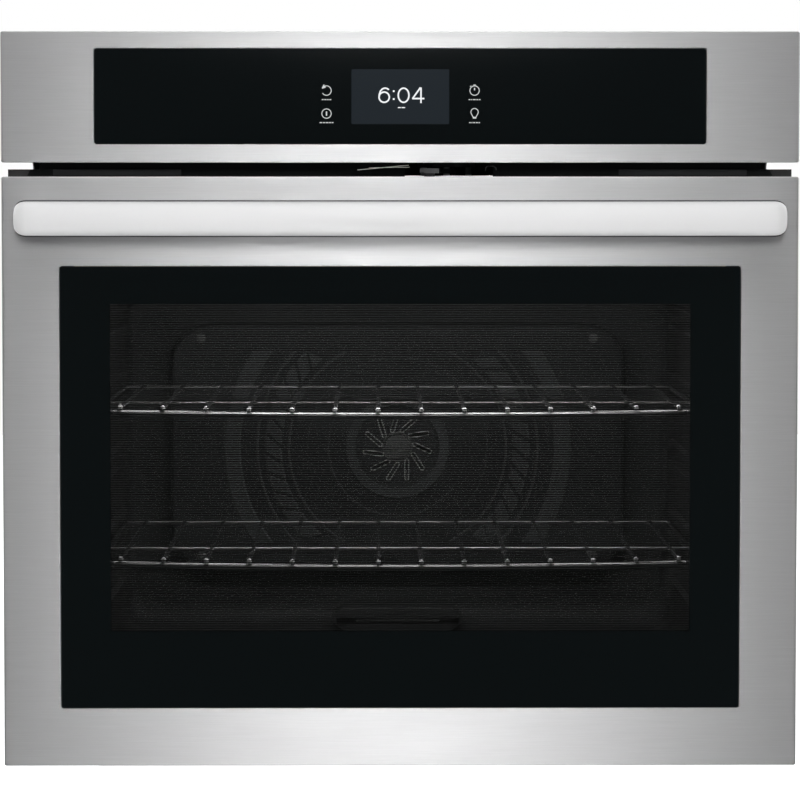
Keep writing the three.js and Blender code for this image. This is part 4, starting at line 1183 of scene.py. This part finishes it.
def liner_rim():
    """The pressed rim round the inner glass."""
    start, profile = -13.3, ((0.5, -12.8), (2.5, -11.2), (5, -10.8), (9, -10.8), (12, -11.4), (14, -12.9))
    rows = []
    for d, y in ((0, start), *profile, (14, start)):
        rows.append((-306 + d, 306 - d, 109 + d, 478 - d, 24 - d * 0.7, y))
    bm = bmesh.new()
    add_loop(bm, rect_rings(rows, steps=8))
    finish_mesh("door_liner_rim", bm, BLACK_ENAMEL, "door")


def glass_clips():
    """The clips that hold the inner glass, each with its screw."""
    head = [(0, 3), (0.8, 2.9), (1.2, 2)]
    bm = bmesh.new()
    for x in (-200, 0, 200):
        for z, toward_glass in ((458.5, -1), (122.5, 1)):
            add_box(bm, (x - 14, x + 14), (-13.2, -12.2), (z - 7, z + 7), 0.4)
            add_disc(bm, (x, -12.3, z + toward_glass * 2.5), (0, 1, 0), head, sides=14)
    finish_mesh("inner_glass_clips", bm, SCREW, "door")


def glass_frame():
    """The black channel that lines the opening in the door's insulation, round the middle glass."""
    edge, depth, sheet = (-313, 313, 95, 485), 12.6, 0.6
    front, back = -32.4, -18.5
    profile = [(0, front), (depth, front), (depth, back), (0, back), (0, back - sheet),
               (depth - sheet, back - sheet), (depth - sheet, front + sheet), (0, front + sheet)]
    rings = rect_rings([(*inset(edge, d), 18 - d, y) for d, y in profile], steps=5)
    bm = bmesh.new()
    add_loop(bm, rings)
    finish_mesh("door_glass_frame", bm, BLACK_PAINT, "door")


# ---------------------------------------------------------------- studio
def stage_material(name, color, glow_strength):
    s = Shader(name, color, 0.9, Emission_Strength=glow_strength)
    s.bsdf.inputs["Emission Color"].default_value = (1, 1, 1, 1)
    return s.material


def stage_mesh(name, bm, material):
    """A part of the studio, from a bmesh in millimetres."""
    for v in bm.verts:
        v.co = to_row(*v.co)
    mesh = bpy.data.meshes.new(name)
    bm.to_mesh(mesh)
    bm.free()
    mesh.materials.append(material)
    obj = add_object(name, mesh)
    return obj


def aim_at(obj, place, target, axis):
    """Puts an object at a place and turns one of its axes towards a target."""
    obj.location = place
    obj.rotation_mode = "QUATERNION"
    obj.rotation_quaternion = (Vector(target) - Vector(place)).to_track_quat(axis, "Y")


def soft_card(name, centre, size, strength, fade):
    """A light panel that faces the oven and fades away from its middle line."""
    s = Shader(name, (0, 0, 0), 1.0)
    where = s.node("SeparateXYZ", Vector=s.place())
    across = s.math("DIVIDE", where.outputs["X"], fade)
    bell = s.math("POWER", math.e, s.math("MULTIPLY", s.math("MULTIPLY", across, across), -1.0))
    emission = s.node("Emission", Strength=s.math("MULTIPLY", bell, strength))
    out = s.tree.nodes["Material Output"]
    s.tree.links.new(emission.outputs[0], out.inputs["Surface"])
    bm = bmesh.new()
    bmesh.ops.create_grid(bm, x_segments=1, y_segments=1, size=0.5)
    mesh = bpy.data.meshes.new(name)
    bm.to_mesh(mesh)
    bm.free()
    mesh.transform(Matrix.Diagonal((size[0], size[1], 1, 1)))
    mesh.materials.append(s.material)
    card = add_object(name, mesh)
    aim_at(card, centre, (0, CABINET_Y, 0.35), "Z")
    card.visible_camera = False
    card.visible_shadow = False


def world():
    """White to the camera; soft grey around the oven, brighter overhead and dark straight in front."""
    made = bpy.data.worlds.new("studio")
    bpy.context.scene.world = made
    made.use_nodes = True
    tree = made.node_tree
    background = tree.nodes["Background"]
    direction = tree.nodes.new("ShaderNodeTexCoord").outputs["Generated"]

    def level(axis, start, end, low, high):
        """A brightness that changes smoothly with the cosine of the angle to an axis."""
        toward = tree.nodes.new("ShaderNodeVectorMath")
        toward.operation = "DOT_PRODUCT"
        toward.inputs[1].default_value = axis
        tree.links.new(direction, toward.inputs[0])
        shade = tree.nodes.new("ShaderNodeMapRange")
        shade.interpolation_type = "SMOOTHSTEP"
        for key, value in (("From Min", start), ("From Max", end), ("To Min", low), ("To Max", high)):
            shade.inputs[key].default_value = value
        tree.links.new(toward.outputs["Value"], shade.inputs["Value"])
        return shade.outputs["Result"]

    def combine(operation, a, b):
        made = tree.nodes.new("ShaderNodeMath")
        made.operation = operation
        tree.links.new(a, made.inputs[0])
        tree.links.new(b, made.inputs[1])
        return made.outputs[0]

    around = level((0, -1, 0), 0.6, 0.97, 0.62, 0.02)
    overhead = level((0, 0, 1), 0.4, 0.95, 0.0, 0.7)
    below = level((0, 0, 1), -0.45, 0.05, 0.25, 1.0)
    beside = level((0, -1, 0), -0.1, 0.5, 0.6, 1.0)
    seen = tree.nodes.new("ShaderNodeLightPath").outputs["Is Camera Ray"]
    strength = around
    for operation, other in (("MULTIPLY", beside), ("MULTIPLY", below), ("ADD", overhead), ("MAXIMUM", seen)):
        strength = combine(operation, strength, other)
    background.inputs["Color"].default_value = (1, 1, 1, 1)
    tree.links.new(strength, background.inputs["Strength"])


def studio():
    """The plinth and the floor, both nearly white, the world round them and two light panels in front."""
    ground = -150
    bm = bmesh.new()
    add_box(bm, (-300, 300), (60, 560), (ground, -0.5))
    plinth = stage_mesh("plinth", bm, stage_material("plinth_white", (0.9, 0.9, 0.9), 0.6))
    bm = bmesh.new()
    bmesh.ops.create_grid(bm, x_segments=1, y_segments=1, size=6000)
    for v in bm.verts:
        v.co.z = ground
    floor = stage_mesh("floor", bm, stage_material("floor_white", (0.88, 0.88, 0.88), 0.5))
    for obj in (plinth, floor):
        obj.visible_glossy = False
    world()
    for name, height, strength, fade in (
        ("card_above", 1.3, 29.0, 0.285),
        ("card_below", -1.05, 22.0, 0.235),
    ):
        soft_card(name, (0.0, -3.6, height), (2.2, 0.9), strength, fade)


def area_light(name, place, target, size, power):
    """A soft light of a width and a height, aimed at a target and hidden from the camera."""
    data = bpy.data.lights.new(name, "AREA")
    data.shape = "RECTANGLE"
    data.size, data.size_y = size
    data.energy = power
    light = add_object(name, data)
    aim_at(light, place, target, "-Z")
    light.visible_camera = False


def side_lights():
    """Soft boxes beside and behind the oven, so that its casing has shape from every side."""
    for name, place, size, power in (
        ("box_right", (2.4, 1.3, 1.5), 2.6, 27.0),
        ("box_left", (-2.4, 1.0, 1.2), 2.4, 22.0),
        ("box_rear", (0.9, 3.2, 1.6), 2.8, 46.0),
    ):
        area_light(name, place, (0, 0, 0.3), (size, size), power)


def oven_light():
    """A soft strip inside the top of the door opening, aimed down into the cavity."""
    area_light("oven_light", to_row(0, 4, 536), to_row(0, 90, 230), (0.54, 0.03), 2.65)


def camera():
    """Stands 3.2 m in front of the door, a little left of its middle and near its top edge."""
    data = bpy.data.cameras.new("camera")
    data.sensor_width = 36
    data.lens = 150.18
    data.shift_y = -0.084
    data.clip_end = 50
    obj = add_object("camera", data)
    obj.location = to_row(-20, -3242, 576)
    right, down = math.radians(0.3535), math.radians(2.7417)
    obj.rotation_euler = (math.radians(90) - down, 0, -right)
    bpy.context.scene.camera = obj
    bpy.context.scene.view_settings.view_transform = "Standard"


# ---------------------------------------------------------------- putting it together
paint_cad_nodes()
door_outer = (-HALF, HALF, DOOR["bottom"], DOOR["top"])
panel_outer = (-HALF, HALF, PANEL["bottom"], PANEL["top"])
steel_front("door_skin_folded", "door", door_outer, GLASS, DOOR["seam"], "door_skin")
pane("door_glass_printed", "door", inset(GLASS, 0.4), 2.2, FACE_Y - 0.4, FACE_Y + 4,
     DOOR_GLASS, "door_outer_glass")
for layer, rect, front, back in (
    ("middle", (-300, 300, 110, 470), -37, -33.5),
    ("inner", (-292, 292, 123, 464), -18.3, -14.6),
):
    pane(f"door_glass_{layer}", "door", rect, 6, front, back,
         INNER_GLASS, f"door_{layer}_glass")
handle()
handle_posts()
door_inside()
liner_rim()
glass_clips()
glass_frame()
steel_front("panel_shell_folded", "oven", panel_outer, TOUCH, PANEL["back"], "panel_frame")
pane("panel_glass_printed", "oven", inset(TOUCH, 0.4), 2.2, FACE_Y - 0.4, FACE_Y + 3,
     PANEL_GLASS, "panel_glass")
touch_symbols()
display()
cavity()
bake_cover()
fan_cover()
rack("rack_lower", RACK_LEVELS[1])
rack("rack_upper", RACK_LEVELS[3])
seal()
vent_details()
latch_hook()
chassis_details()
wiring()
soft_batt("insulation_wrap", "oven")
soft_batt("insulation_back", "oven")
soft_batt("door_insulation", "door")
camera()
studio()
oven_light()
side_lights()
